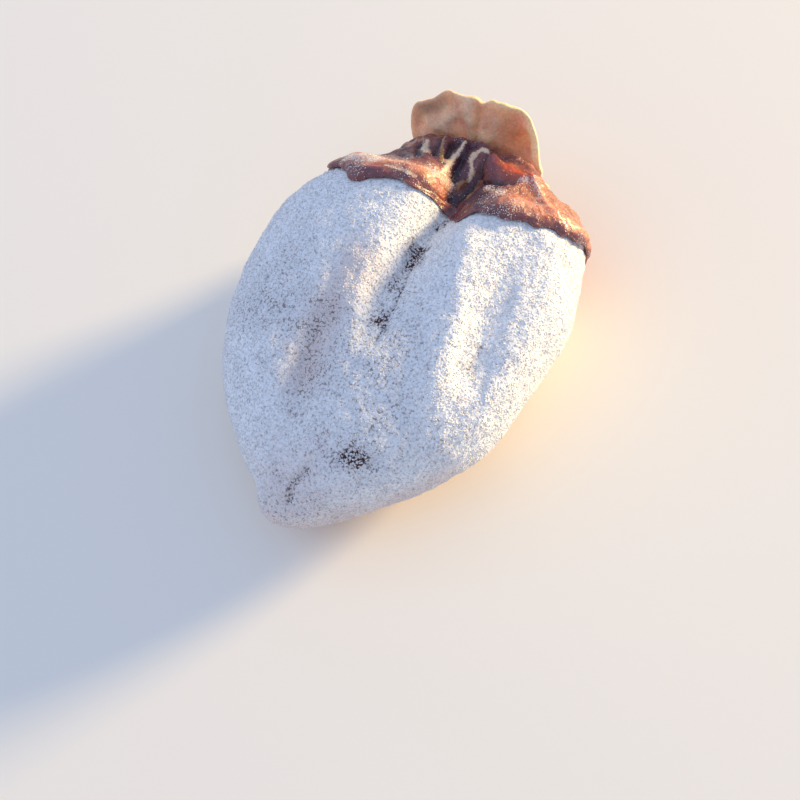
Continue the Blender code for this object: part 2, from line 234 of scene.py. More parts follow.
# The form of the body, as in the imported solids. Sections from tip to calyx: y, left x, right x, top z,
# bottom z; a bottom below zero is pressed flat where the fruit rests.
bodyForm = {
    "sections": (
        (-31.3, 1.6, 1.6, 8.8, 8.8), (-30.4, -1.6, 4.4, 11.2, 5.8),
        (-27.8, -4.4, 7.8, 14.0, 3.8), (-23.2, -9.9, 12.8, 16.8, 1.9),
        (-16.6, -16.2, 19.1, 19.4, 0.5), (-8.0, -21.0, 24.1, 21.4, -0.4),
        (2.0, -23.6, 26.1, 22.8, -0.7), (12.0, -23.9, 26.9, 23.8, -0.4),
        (19.0, -21.9, 25.8, 24.0, 0.8), (23.6, -17.6, 24.7, 23.2, 2.2),
        (27.0, -14.2, 23.4, 21.6, 3.8), (30.0, -11.5, 20.4, 20.2, 5.0),
        (32.8, -10.9, 15.2, 18.8, 6.0), (34.8, -10.2, 12.2, 17.6, 6.8),
        (35.5, -8.6, 10.4, 16.6, 7.8), (35.7, 1.0, 1.0, 12.2, 12.2),
    ),
    "squareness": 2.35,  # 2 would make each section an ellipse
    "widestAt": 0.48,  # height of the widest level, as a share of a section's height
    # Folds that dried in: rows of y, x, depth (below zero it stands up), left and right half width
    "topFolds": {
        "valley": (
            (-8, 4.4, 0.0, 3.2, 4.0), (-3, 3.6, 1.0, 3.2, 5.0), (4, 2.8, 2.6, 2.9, 5.6),
            (12, 2.7, 4.3, 2.8, 5.2), (20.6, 3.8, 5.2, 2.9, 4.4), (26.5, 3.7, 4.0, 3.0, 4.0),
            (31, 3.3, 1.6, 2.8, 3.4), (34.5, 3.0, 0.0, 2.8, 3.2),
        ),
        "leftCrease": (
            (-26, 0.8, 0.0, 1.8, 1.8), (-22, -0.2, 0.4, 2.2, 2.0), (-17, -1.4, 0.9, 2.8, 2.4),
            (-10.5, -2.4, 1.4, 2.8, 2.6), (-4, -2.2, 1.0, 2.6, 2.4), (1, -3.0, 0.0, 2.4, 2.2),
        ),
        "rightCrest": (
            (-14, 16.6, 0.0, 3.0, 2.6), (-8, 16.6, -0.9, 3.2, 2.4), (0, 14.8, -1.3, 3.4, 2.6),
            (7, 12.8, -1.2, 3.4, 2.8), (14, 10.2, -0.9, 3.0, 3.0), (21, 9.4, 0.0, 2.6, 3.0),
        ),
        "rightDent": (
            (-14, 19.0, 0.0, 3.0, 2.2), (-6, 19.4, 0.8, 2.6, 2.4), (2, 19.2, 1.2, 2.8, 2.4),
            (9, 19.2, 1.2, 3.0, 2.6), (18, 19.4, 0.7, 3.2, 2.6), (25, 18.8, 0.0, 3.0, 2.4),
        ),
        "outerCrest": (
            (-16, 18.6, 0.0, 2.0, 2.4), (-8, 22.2, -0.6, 2.0, 2.4), (2, 23.8, -0.9, 2.0, 2.6),
            (12, 24.0, -0.8, 2.0, 2.6), (22, 22.6, 0.0, 2.0, 2.4),
        ),
        "leftSwell": (
            (-6, -8.0, 0.0, 3.0, 3.0), (2, -8.5, -0.5, 3.0, 2.6), (9, -7.0, -0.7, 3.0, 2.4),
            (16, -6.4, 0.0, 3.0, 2.4),
        ),
    },
    "underFolds": {
        "underValley": (
            (10, 0.0, 0.0, 3.0, 3.0), (17, -0.6, 1.6, 3.4, 3.4), (24, -0.2, 2.6, 3.2, 3.4),
            (30, 0.6, 1.8, 2.8, 3.0), (34, 1.0, 0.8, 2.4, 2.4),
        ),
        "leftUnderCrease": (
            (-22, -3.0, 0.0, 2.4, 2.4), (-14, -10.5, 0.9, 2.8, 2.6), (-2, -15.0, 1.2, 3.0, 3.0),
            (12, -15.6, 1.0, 3.0, 3.0), (22, -12.0, 0.0, 3.0, 3.0),
        ),
        "rightUnderCrease": (
            (-20, 9.0, 0.0, 2.4, 2.4), (-10, 15.4, 1.0, 2.8, 3.0), (4, 18.4, 1.3, 3.0, 3.0),
            (18, 16.6, 0.9, 3.0, 3.0), (26, 13.4, 0.0, 2.6, 2.6),
        ),
    },
    # The rim where the peel was left on: degrees round the fruit from +X over +Z, y
    "rim": (
        (0, 26.0), (20, 24.8), (33, 23.4), (45, 22.3), (54, 21.7), (62, 20.9),
        (68, 20.2), (74, 19.7), (82, 20.3), (90, 20.9), (97, 20.8), (103, 20.6),
        (110, 20.4), (117, 19.7), (124, 20.0), (133, 20.8), (146, 21.6), (162, 22.6),
        (180, 23.4), (210, 23.0), (240, 21.6), (270, 20.9), (300, 21.8), (330, 24.6),
    ),
    "shoulderEnd": 13.45,  # where the stretch from the rim to the calyx ends, counted in sections
}


# The section at u, counted in sections from the tip: Catmull-Rom pieces through the rows, mirrored at
# both ends so that they close as round caps.
def sectionAt(u):
    rows = np.array(bodyForm["sections"])
    before = np.r_[rows[1, 0], 2 * rows[0, 1:] - rows[1, 1:]]
    after = np.r_[rows[-2, 0], 2 * rows[-1, 1:] - rows[-2, 1:]]
    i = np.clip(np.floor(u).astype(int), 0, len(rows) - 2)
    rows = np.vstack([before, rows, after])
    f = (u - i)[..., None]
    a, b, c, d = rows[i], rows[i + 1], rows[i + 2], rows[i + 3]
    bend = (2 * a - 5 * b + 4 * c - d) * f**2 + (3 * b - a - 3 * c + d) * f**3
    return 0.5 * (2 * b + (c - a) * f + bend)


# Sum of the folds at a place in plan: each fold's depth times a bell of the distance from its line
def foldDepth(folds, x, y):
    depth = np.zeros_like(x)
    for rows in folds.values():
        rows = np.array(rows)
        middle, deep, left, right = np.moveaxis(easedRows(rows[:, 0], rows[:, 1:], y), -1, 0)
        away = x - middle
        depth += deep * bell(away, np.where(away > 0, right, left))
    return depth


# The body at section u and turn round the long axis: a superellipse, |x|^n + |z|^n = 1, stretched to
# the section's width and heights, lowered by the folds on top and raised by those underneath.
def bodySurface(u, turn, folded=True):
    y, left, right, top, bottom = np.moveaxis(sectionAt(u), -1, 0)
    middle = bottom + bodyForm["widestAt"] * (top - bottom)
    c, s = np.cos(turn), np.sin(turn)
    n = bodyForm["squareness"]
    out = (np.abs(c) ** n + np.abs(s) ** n) ** (-1 / n)
    x = (left + right) / 2 + (right - left) / 2 * c * out
    z = middle + np.where(s > 0, top - middle, middle - bottom) * s * out
    if folded:
        z -= smoothStep(0.1, 0.6, s * out) * foldDepth(bodyForm["topFolds"], x, y)
        z += smoothStep(0.1, 0.6, -s * out) * foldDepth(bodyForm["underFolds"], x, y)
    return np.stack([x, y, np.maximum(z, 0.0)], -1)


# How many sections from the tip the rim lies at this turn: its y, eased through the rim's rows with the
# turn wrapped round, looked up along the sections.
def rimSection(turn):
    degrees, y = np.array(bodyForm["rim"]).T
    degrees = np.r_[degrees[-2:] - 360, degrees, degrees[:2] + 360]
    rows = np.r_[y[-2:], y, y[:2]][:, None]
    y = easedRows(degrees, rows, np.degrees(turn) % 360)[..., 0]
    fine = np.linspace(0, len(bodyForm["sections"]) - 1, 1500)
    return np.interp(y, sectionAt(fine)[:, 0], fine)


# A point of the shoulder, v of the way from the rim to the calyx, raised by height along the normal of
# the body without its folds.
def shoulderPoint(v, turn, height):
    u = rimSection(turn) * (1 - v) + bodyForm["shoulderEnd"] * v
    step = 0.02
    along = bodySurface(u + step, turn, False) - bodySurface(u - step, turn, False)
    aroundIt = bodySurface(u, turn + step, False) - bodySurface(u, turn - step, False)
    normal = np.cross(along, aroundIt)
    normal /= np.linalg.norm(normal, axis=-1, keepdims=True)
    return bodySurface(u, turn) + normal * height[..., None]


# Turns of the columns, spaced evenly along the widest section but wider apart underneath.
def columnTurns(count, undersideGap):
    fine = np.linspace(0, 2 * np.pi, 4001)
    ring = bodySurface(np.full_like(fine, 6.5), fine, False)
    gap = np.linalg.norm(np.diff(ring, axis=0), axis=1)
    middle = (fine[1:] + fine[:-1]) / 2
    gap /= 1 + (undersideGap - 1) * smoothStep(0.05, 0.45, -np.sin(middle))
    length = np.r_[0, np.cumsum(gap)]
    return np.interp(np.arange(count) / count * length[-1], length, fine)


# The flesh with its bloom: the body, with soft lumps, drying wrinkles, creases at the tip and the
# bloom's grains raised along its normals.
fleshForm = {
    "columns": 400,
    "rows": 224,  # from the tip to the rim
    "undersideGap": 1.9,  # columns are this much wider apart underneath
    "lumps": ((9.0, 0.22), (4.0, 0.16), (1.9, 0.10), (1.05, 0.13)),  # size of the soft lumps, height
    "wrinkles": 46,
    "wrinkleDeep": (0.05, 0.2),
    "wrinkleWide": (0.6, 1.3),
    "grain": 0.55,  # size of a clump of sugar grains
    "grainHigh": 0.18,
    # Creases on top: lines in plan, half width, depth (below zero it fills a dent)
    "creases": (
        (((4.0, 21.5), (3.5, 17.6), (2.9, 14.0), (2.7, 10.0), (3.0, 7.5)), 0.8, 0.5),
        (((3.4, 9.4), (4.1, 6.4), (4.6, 3.4), (5.1, 0.0), (5.3, -2.6), (5.4, -5.0)), 0.45, 0.35),
        (((-4.6, 1.5), (-4.8, -1.9), (-4.1, -5.7), (-3.4, -9.2), (-2.3, -13.3), (-1.5, -17.0)), 1.5, 0.3),
        (((-8.4, -7.0), (-8.6, 1.0), (-7.4, 8.0)), 3.2, 0.55),
        (((-1.2, -20.6), (-1.6, -23.7), (-0.4, -25.8), (1.3, -26.7)), 0.7, 0.3),
        (((4.3, -23.4), (3.4, -25.7), (2.7, -26.8), (3.2, -28.1)), 0.65, 0.55),
        (((6.4, -21.2), (9.2, -20.2), (12.4, -19.4)), 1.1, 0.3),
        (((20.0, 20.0), (20.2, 10.0), (20.6, 3.0)), 2.2, -0.65),
        (((19.6, -6.0), (19.2, -12.0)), 2.2, -0.5),
        (((16.9, 5.0), (17.3, 0.0), (17.8, -4.5)), 1.5, 0.5),
    ),
    "nubDent": ((-4.4, -27.6), 2.6, 0.55),  # the hollow beside the tip: place in plan, half width, depth
    "fullBloom": 0.96,
    "mottle": ((6.0, 0.10), (2.2, 0.09)),  # size of the bloom's patches, how much thicker or thinner
    # Where the bloom is thin, on top: lines in plan, half width, share gone
    "thinLines": (
        (((4.4, 19.2), (3.7, 17.6)), 0.9, 0.75),
        (((3.2, 16.4), (3.0, 15.2)), 0.7, 0.3),
        (((2.9, 12.9), (3.1, 10.8), (3.2, 9.4)), 1.2, 0.95),
        (((2.8, 6.4), (2.7, 5.2)), 1.1, 0.42),
        (((3.4, 9.4), (4.1, 6.4), (4.6, 3.4), (5.1, 0.0), (5.4, -4.0)), 0.32, 0.4),
        (((4.5, 0.2), (4.0, -1.6)), 1.1, 0.46),
        (((8.4, -20.6), (10.2, -19.8)), 1.5, 0.62),
        (((7.0, -20.6), (11.8, -18.6)), 2.8, 0.26),
        (((4.1, -24.3), (3.4, -25.7), (2.7, -26.6), (3.3, -28.1)), 0.7, 0.33),
        (((1.3, -26.7), (-0.4, -25.8)), 0.6, 0.22),
        (((18.6, 1.2), (18.5, -2.2)), 0.8, 0.36),
        (((-4.8, -1.9), (-3.4, -9.2), (-1.6, -15.9)), 1.4, 0.08),
    ),
    # Broad places with a little less bloom, or more: middle in plan, half lengths, share gone. Less bloom
    # in the middle, the left crease and on the left side greys them as painted shade; more bloom whitens
    # the sunlit right lobe as painted light.
    "thinPlacesLightAndShade": (
        ((-13.0, -4.0), (9.0, 12.0), 0.14), ((6.0, -6.0), (9.0, 12.0), 0.25),
        ((-3.5, -4.0), (3.0, 9.0), 0.14), ((4.0, -27.0), (12.0, 5.0), 0.10),
        ((17.0, -12.0), (5.0, 8.0), 0.02), ((15.0, 12.0), (9.0, 13.0), -0.17),
        ((-1.0, 13.0), (4.0, 8.0), -0.12), ((-12.0, 14.0), (7.0, 8.0), -0.06),
    ),
    "carriedOn": (0.015, 0.03, 0.045, 0.06),  # v of the bloomed rings under the peel's lip
    "steppedDown": (0.075, 0.12, 0.2, 0.32, 0.48, 0.64, 0.8, 0.95),  # v of the rings under the peel
    "underRim": -1.15,  # height of the flesh under the peel
    "fleshEnd": 35.6,  # y of its end behind the calyx
    # Where the bloom lets the flesh's colour through, and how strongly; low on the sides the tint is also
    # painted warm bounced light
    "fleshAndBounceUnder": (4.0, 13.0, 0.75),  # heights between which it ends
    "redCrease": (((-3.0, 6.0), (-3.6, -4.0), (-2.4, -12.0)), 3.2, 0.6),  # line, half width
    "redTip": ((3.0, -28.0), (7.0, 7.0), 0.5),  # middle, half lengths
}


# Thickness of the bloom: 1 where it is full, less bells round the thin lines and places, and mottled;
# through the broad places it also carries painted shade and light
def bloomShare(points):
    x, y, z = np.moveaxis(points, -1, 0)
    onTop = smoothStep(7.0, 10.5, z)
    ragged = 1 + 0.55 * softNoise(points, 1.5, 71) + 0.3 * softNoise(points, 0.8, 74)
    bare = np.zeros_like(x)
    for line, wide, share in fleshForm["thinLines"]:
        bare = np.maximum(bare, share * bell(awayFromLine(x, y, line), wide * ragged))
    broad = np.zeros_like(x)
    for middle, half, share in fleshForm["thinPlacesLightAndShade"]:
        broad += share * placeBell(x, y, middle, half)
    mottle = layeredNoise(points, fleshForm["mottle"], 72)
    return np.clip(fleshForm["fullBloom"] + mottle - broad - onTop * bare, 0, 1.15)


# Where the flesh's colour comes through: low towards the tip, in the left crease and at the tip; low down
# the warm tint is also painted warm light bounced up from below
def fleshAndBounceWarmth(points):
    x, y, z = np.moveaxis(points, -1, 0)
    low, high, under = fleshForm["fleshAndBounceUnder"]
    red = under * (1 - smoothStep(low, high, z + 3.0 * softNoise(points, 5.0, 75)))
    red = red * smoothStep(14.0, -14.0, y)
    line, wide, inCrease = fleshForm["redCrease"]
    red += inCrease * bell(awayFromLine(x, y, line), wide) * smoothStep(8.0, 12.0, z)
    middle, half, atTip = fleshForm["redTip"]
    return np.clip(red + atTip * placeBell(x, y, middle, half), 0, 1)


# Height of the flesh's fine forms above the smooth body
def fleshRelief(points, turn, share):
    x, y, z = np.moveaxis(points, -1, 0)
    onTop = smoothStep(6.0, 9.0, z)
    height = layeredNoise(points * (1.0, 0.7, 1.0), fleshForm["lumps"], 11)
    middle = points.mean(axis=1, keepdims=True)
    radius = np.hypot(x - middle[..., 0], z - middle[..., 2])
    draw = np.random.default_rng(5)
    for _ in range(fleshForm["wrinkles"]):
        start = draw.uniform(0, 2 * np.pi)
        meander, phase = draw.uniform(0.02, 0.09), draw.uniform(0, 2 * np.pi)
        deep, wide = draw.uniform(*fleshForm["wrinkleDeep"]), draw.uniform(*fleshForm["wrinkleWide"])
        at, long = draw.uniform(0.1, 1.0), draw.uniform(0.12, 0.4)
        line = start + meander * np.sin(5 * share + phase)
        away = radius * np.angle(np.exp(1j * (turn - line)))
        height -= deep * bell(away, wide) * bell(share - at, long)
    for line, wide, deep in fleshForm["creases"]:
        height -= onTop * deep * bell(awayFromLine(x, y, line), wide)
    (dentX, dentY), wide, deep = fleshForm["nubDent"]
    height -= deep * bell(np.hypot(x - dentX, y - dentY), wide)
    return height


def makeFlesh(finish):
    turn = columnTurns(fleshForm["columns"], fleshForm["undersideGap"])
    rim = rimSection(turn)
    fine = np.linspace(0, len(bodyForm["sections"]) - 1, 3000)
    sideAndTop = (bodySurface(fine, 0 * fine + angle, False) for angle in (0, np.pi / 2))
    steps = sum(np.linalg.norm(np.diff(line, axis=0), axis=1) for line in sideAndTop) / 2
    length = np.r_[0, np.cumsum(steps)]
    share = (np.arange(1, fleshForm["rows"] + 1) / fleshForm["rows"])[:, None]
    u = np.interp(share * np.interp(rim, fine, length), length, fine)
    turns = np.broadcast_to(turn, u.shape)
    points = bodySurface(u, turns)
    normals = gridNormals(points)
    points = points + normals * fleshRelief(points, turns, share)[..., None]
    bloom = bloomShare(points)
    clump = nearestGrain(points, fleshForm["grain"], 31)
    pit = smoothStep(0.3, 0.85, clump)
    tucked = 1 - smoothStep(0.985, 1.0, share)
    lift = fleshForm["grainHigh"] * (0.35 + 0.65 * bloom) * (1 - clump**2) * tucked
    points = points + gridNormals(points) * lift[..., None]
    points[..., 2] = np.maximum(points[..., 2], 0.0)
    flat = np.ones_like(turn)
    below = fleshForm["underRim"] * flat
    carried = [shoulderPoint(v * flat, turn, 0 * flat) for v in fleshForm["carriedOn"]]
    hidden = [shoulderPoint(v * flat, turn, below) for v in fleshForm["steppedDown"]]
    endPole = np.array([1.0, fleshForm["fleshEnd"], 12.2])
    widest = hidden[-1]
    for narrower, back in ((0.7, 0.6), (0.35, 0.12)):
        ring = endPole + (widest - endPole) * narrower
        ring[:, 1] = fleshForm["fleshEnd"] - back
        hidden.append(ring)
    hidden = np.array(carried + hidden)
    tipPole = bodySurface(np.array([0.0]), np.array([0.0]))[0] + (0, -0.05, 0)
    underPeel = np.ones(hidden.shape[:2])
    attributes = {
        "bloom": np.concatenate([bloom, 0.75 * underPeel]),
        "pit": np.concatenate([pit, 0 * underPeel]),
        "fleshAndBounceWarmth": np.concatenate([fleshAndBounceWarmth(points), 0 * underPeel]),
    }
    rings = np.concatenate([points, hidden])
    piece = closedPiece("bloomedFlesh", rings, (tipPole, endPole), finish, attributes)
    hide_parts("fruit")
    return points, bloom


# Sugar bloom on dried persimmon flesh: fine sugar crystals that came out of the flesh as it dried. It
# gives the eye a matt, granular white that is blue in the shade, with grey-brown specks between the
# grains, and dark brown flesh showing as pepper where the bloom is thin. Its grey of thin bloom is also
# painted shade on the middle and the left crease, and its warm tint low on the sides is also painted
# warm light bounced up from below.
def sugarBloomOnFlesh():
    colours = {
        "bloom": "#FFFDF9",
        "bloomShade": "#E8E4E2",
        "thinBloomShadeGrey": "#B6B0B2",
        "fleshAndBounceWarm": "#E4C6B8",
        "dustedFlesh": "#B8A99F",
        "bareFlesh": "#4A2622",
    }
    grainAcross, speckAcross, mottleAcross = 0.42, 0.3, 3.0  # millimetres
    bareBelow, thickEnough = 0.4, 0.9  # bloom shares between which the flesh in the gaps gets paler
    finish, shader, add, tint = newFinish("sugar bloom on flesh", colours)
    place = add("TexCoord", "Object")
    # The warm tint is the flesh's colour through the bloom and, low on the sides, painted warm bounced
    # light
    masks = ("bloom", "pit", "fleshAndBounceWarmth")
    bloom, pit, red = (add("Attribute", "Fac", attribute_name=name) for name in masks)
    grains = add("TexVoronoi", "Distance", {"Vector": place, "Scale": scaleOf(grainAcross)})
    noise = {"Vector": place, "Roughness": 0.6}
    specks, mottle = (
        add("TexNoise", "Fac", {**noise, "Scale": scaleOf(across), "Detail": detail})
        for across, detail in ((speckAcross, 1.5), (mottleAcross, 3.0))
    )
    # Flesh shows where the specks' value, higher on the grains than between them, is under an edge that
    # rises as the bloom gets thin
    onGrains = add("Math", 0, {0: grains, 1: -0.5, 2: specks}, operation="MULTIPLY_ADD")
    edgeRange = {"From Max": 1.15, "To Min": 0.42, "To Max": -0.05}
    edge = add("MapRange", "Result", {"Value": bloom, **edgeRange})
    for value, share in ((pit, 0.05), (mottle, 0.12)):
        edge = add("Math", 0, {0: value, 1: share, 2: edge}, operation="MULTIPLY_ADD")
    past = add("Math", 0, {0: edge, 1: onGrains}, operation="SUBTRACT")
    gap = add("MapRange", "Result", {"Value": past, "From Min": 0.0, "From Max": 0.16})
    shaded = add("MapRange", "Result", {"Value": grains, "From Min": 0.3, "From Max": 0.9})
    # Greyer where the bloom is thin; in the broad thin places this grey is painted shade on the middle
    # and the left crease
    thinRange = {"From Min": 0.95, "From Max": 0.55, "To Max": 0.5}
    thinnedAndShaded = add("MapRange", "Result", {"Value": bloom, **thinRange})
    covered = add("MapRange", "Result", {"Value": bloom, "From Min": bareBelow, "From Max": thickEnough})
    under = add("Mix", 2, {0: covered, 6: tint["bareFlesh"], 7: tint["dustedFlesh"]}, data_type="RGBA")
    colour = tint["bloom"]
    tones = tint["bloomShade"], tint["thinBloomShadeGrey"], tint["fleshAndBounceWarm"], under
    for mask, over in zip((shaded, thinnedAndShaded, red, gap), tones):
        colour = add("Mix", 2, {0: mask, 6: colour, 7: over}, data_type="RGBA")
    height = add("Math", 0, {0: grains, 1: -0.6, 2: specks}, operation="MULTIPLY_ADD")
    bump = add("Bump", "Normal", {"Height": height, "Strength": 0.5, "Distance": 0.16 * millimetre})
    rough = add("MapRange", "Result", {"Value": bloom, "To Min": 0.5, "To Max": 0.92})
    feed(shader, {"Base Color": colour, "Normal": bump, "Roughness": rough, "IOR": 1.5})
    feed(shader, {"Specular IOR Level": 0.35, "Subsurface Weight": 0.08})
    feed(shader, {"Subsurface Radius": (1.0, 0.75, 0.6), "Subsurface Scale": 0.4 * millimetre})
    return finish


# Loose sugar grains: eight-faced lumps, each turned its own way and sunk into what it sits on.
grainForm = {
    "onFlesh": (24000, 24000),  # in two pieces
    "radius": (0.08, 0.17),
    "onPeel": 3600,
    "peelRadius": (0.05, 0.11),
    "sunk": 0.1,  # share of the radius
}


# Places grains on a grid of points: cells drawn by their area times the weight, a point within each
# cell, then an octahedron at each whose corners are its three axes and their opposites.
def makeGrains(name, points, weight, count, radius, seed, finish):
    draw = np.random.default_rng(seed)
    nextColumn = np.roll(points, -1, axis=1)
    area = np.linalg.norm(np.cross(points[1:] - points[:-1], nextColumn[:-1] - points[:-1]), axis=-1)
    chance = (area * weight[:-1]).ravel()
    cells = draw.choice(chance.size, count, p=chance / chance.sum())
    row, column = np.divmod(cells, points.shape[1])
    f, g = draw.uniform(size=(2, count, 1))
    low = points[row, column] * (1 - g) + nextColumn[row, column] * g
    high = points[row + 1, column] * (1 - g) + nextColumn[row + 1, column] * g
    normal = gridNormals(points)[row, column]
    size = draw.uniform(*radius, size=(count, 1))
    centre = low * (1 - f) + high * f + normal * size * (-grainForm["sunk"])
    axes, _ = np.linalg.qr(draw.normal(size=(count, 3, 3)))
    axes *= np.sign(np.linalg.det(axes))[:, None, None]
    axes = axes * size[:, :, None] * draw.uniform(0.7, 1.25, size=(count, 3, 1))
    corners = np.concatenate([axes, -axes], axis=1) + centre[:, None, :]
    corners[..., 2] = np.maximum(corners[..., 2], 0.0)
    faces = [(0, 1, 2), (1, 3, 2), (3, 4, 2), (4, 0, 2), (1, 0, 5), (3, 1, 5), (4, 3, 5), (0, 4, 5)]
    index = (np.arange(count)[:, None, None] * 6 + np.array(faces)).ravel()
    tone = np.repeat(draw.uniform(size=count), 6)
    sizes = np.full(count * 8, 3)
    return meshPiece(name, corners.reshape(-1, 3), index, sizes, finish, {"tone": tone}, smooth=False)


# Sugar crystals: clear grains packed so small that they look white. They give the eye the bloom's grit
# and its glints.
def sugarCrystals():
    finish, shader, add, tint = newFinish("sugar crystals", {"pale": "#FFFCF6", "dull": "#D8D3D0"})
    tone = add("Attribute", "Fac", attribute_name="tone")
    colour = add("Mix", 2, {0: tone, 6: tint["pale"], 7: tint["dull"]}, data_type="RGBA")
    feed(shader, {"Base Color": colour, "Roughness": 0.45, "IOR": 1.54})
    return finish


# The collar of peel. v runs from the rim to the calyx.
collarForm = {
    "columns": 640,
    "frontRows": 22,  # over the rolled lip, from its underside to its crest
    "backRows": 66,  # from the crest to the calyx
    "innerRows": 10,
    "underside": -0.9,  # height against the bloomed surface carried on
    "top": 0.4,
    "end": 0.95,  # v of its inner edge
    "lipAt": 0.085,
    "lipWide": 0.075,
    "overhang": 0.11,  # how far the lip rolls back over the bloom, counted in v
    "unevenRoll": ((3.2, 0.3), (1.4, 0.15)),  # size of its swings, share more or less
    "rolledBy": 158,  # degrees
    "edgeFrom": 0.86,  # v where the inner edge starts to thin down to its height
    "edgeHigh": 0.15,
    # Lips: degrees, half width in degrees, height
    "lips": (
        (124, 34, 1.1), (46, 32, 1.3), (-8, 18, 0.6), (180, 20, 0.9),
        (222, 28, 1.0), (268, 22, 0.8), (315, 28, 1.0),
    ),
    "lowestLip": 0.2,
    "lipMix": 4,  # the higher, the less neighbouring lips add up
    # Puckers: degrees at the rim, degrees at the calyx, half width in degrees, height, v of the top
    "puckers": (
        (124, 126, 5, 0.9, 0.66), (112, 112, 6.5, 1.3, 0.66), (97, 97, 6.5, 1.45, 0.70),
        (80, 84, 7.5, 1.5, 0.72), (50, 62, 8, 1.5, 0.66), (140, 130, 7, 0.7, 0.50),
        (160, 158, 8, 0.6, 0.50), (10, 12, 8, 0.8, 0.50), (200, 205, 9, 0.7, 0.50),
        (235, 240, 9, 0.8, 0.50), (262, 262, 8, 0.6, 0.50), (290, 286, 8, 0.8, 0.50),
        (325, 318, 9, 0.7, 0.50),
    ),
    "puckerLong": 0.22,  # half length, as a share of v
    "crumples": ((3.4, 0.28), (1.5, 0.16)),  # size, height
    "drawnDeep": 0.18,  # depth of the thin wrinkles that run from the rim to the calyx
    "pores": (0.7, 0.07),  # size and height of the finest bumps
    "topFrom": (9.0, 13.0),  # heights between which the marks on top fade in
    # Marks on top, each a line in plan, its half width and its height (below zero it is a cleft)
    "streaks": (  # thin pale crests of the folds
        (((0.6, 33.4), (0.4, 30.6), (0.3, 28.6)), 0.38, 0.14),
        (((0.3, 29.0), (0.5, 26.4)), 0.62, 0.12),
        (((4.7, 32.9), (3.6, 33.2), (2.7, 32.4), (2.8, 30.8), (3.5, 29.4), (3.6, 28.3)), 0.5, 0.14),
        (((-5.2, 31.6), (-4.8, 29.6), (-3.6, 28.4)), 0.6, 0.12),
        # A painted pale pink highlight along the left lip's crest
        (((-6.6, 21.3), (-3.8, 21.3), (-1.2, 21.2)), 0.28, 0.08),
    ),
    "amberLines": (
        (((-3.2, 33.4), (-2.2, 31.0), (-1.2, 29.0), (-0.7, 27.8)), 0.35, 0.12),
        (((3.4, 27.8), (2.7, 26.6), (3.2, 25.6)), 0.24, 0.06),
        (((6.2, 26.6), (6.1, 25.2), (5.7, 23.6)), 0.5, 0.1),
    ),
    "clefts": (
        (((4.7, 28.4), (4.4, 26.8), (4.0, 25.0), (3.7, 23.0), (3.9, 21.0)), 1.0, -0.9),
        (((1.7, 33.6), (1.5, 31.0), (1.8, 28.6), (2.2, 26.8)), 0.55, -0.8),
        (((-0.9, 33.8), (-0.9, 31.5), (-0.5, 29.4)), 0.5, -0.7),
        (((-3.4, 33.6), (-3.2, 31.0), (-2.4, 28.6)), 0.5, -0.7),
        (((-6.8, 31.4), (-5.8, 29.2), (-4.4, 27.2)), 0.55, -0.6),
        (((5.0, 32.8), (4.9, 30.4), (5.0, 28.0)), 0.5, -0.6),
        (((5.6, 27.4), (8.6, 27.3), (11.2, 27.4)), 0.7, -0.7),
    ),
    # Single marks, the first of them the red, half clear fold
    "jellied": (((5.2, 31.6), (7.9, 30.1), (10.6, 29.5), (12.8, 29.3)), 1.7, 0.8),
    "greyRidge": (((9.4, 22.8), (10.8, 23.9), (11.8, 26.2), (12.4, 28.2), (13.4, 29.5)), 1.0, 0.5),
    "innerLoop": (((13.5, 29.4), (15.8, 27.8), (18.4, 24.9), (19.6, 24.6)), 0.5, 0.4),
    "orangeCurl": (((1.2, 23.0), (1.9, 22.2), (2.6, 21.6)), 0.8, 0.0),
    "brownBump": (((-9.3, 19.3), (-6.9, 19.9)), 1.3, 0.5),
    # Frosted places: middle in plan, half lengths, how thickly
    "frosted": (
        ((-7.5, 25.8), (3.6, 3.2), 0.35), ((-11.0, 22.3), (3.2, 1.2), 2.6),
        ((8.4, 25.4), (0.9, 1.0), 1.1), ((0.4, 24.6), (2.6, 2.2), 0.95),
        ((10.8, 24.2), (1.7, 2.4), 0.9), ((5.2, 22.2), (1.8, 1.6), 0.3),
        ((17.0, 26.5), (2.6, 2.0), 0.3), ((10.0, 33.0), (2.4, 1.0), 0.5),
    ),
    # Dark places, painted shade on folds that lie out of the light, in the folds' purple-brown: middle in
    # plan, half lengths, how dark
    "foldShadePlaces": (
        ((6.4, 23.6), (2.9, 3.4), 0.95), ((9.0, 26.2), (3.2, 1.6), 0.9),
        ((10.2, 24.8), (2.4, 2.2), 0.75), ((-6.0, 26.2), (5.0, 2.8), 0.75),
        ((16.4, 25.6), (1.5, 1.0), 0.5), ((9.4, 20.5), (2.8, 0.9), 0.8),
        ((8.8, 23.0), (2.4, 1.9), 0.95), ((12.8, 19.5), (3.2, 0.6), 0.7),
    ),
    # Frosted lines: a line in plan, its half width, how thickly
    "frostedLines": ((((12.3, 27.8), (13.6, 28.8), (15.0, 28.3), (16.0, 27.0)), 0.6, 0.95),),
    "dustedOver": 0.12,  # how thickly elsewhere
    "cream": ((-0.2, 22.8), (2.2, 2.0)),  # the pale worn place: middle in plan, half lengths
    "notch": (81, 6),  # the gap between the two top lips: degrees, half width in degrees
    # Where the left lip's crest has a painted pale pink highlight
    "pinkHighlightCrest": (110, 14),  # where the lip's crest has a pale pink line: degrees, half width
}


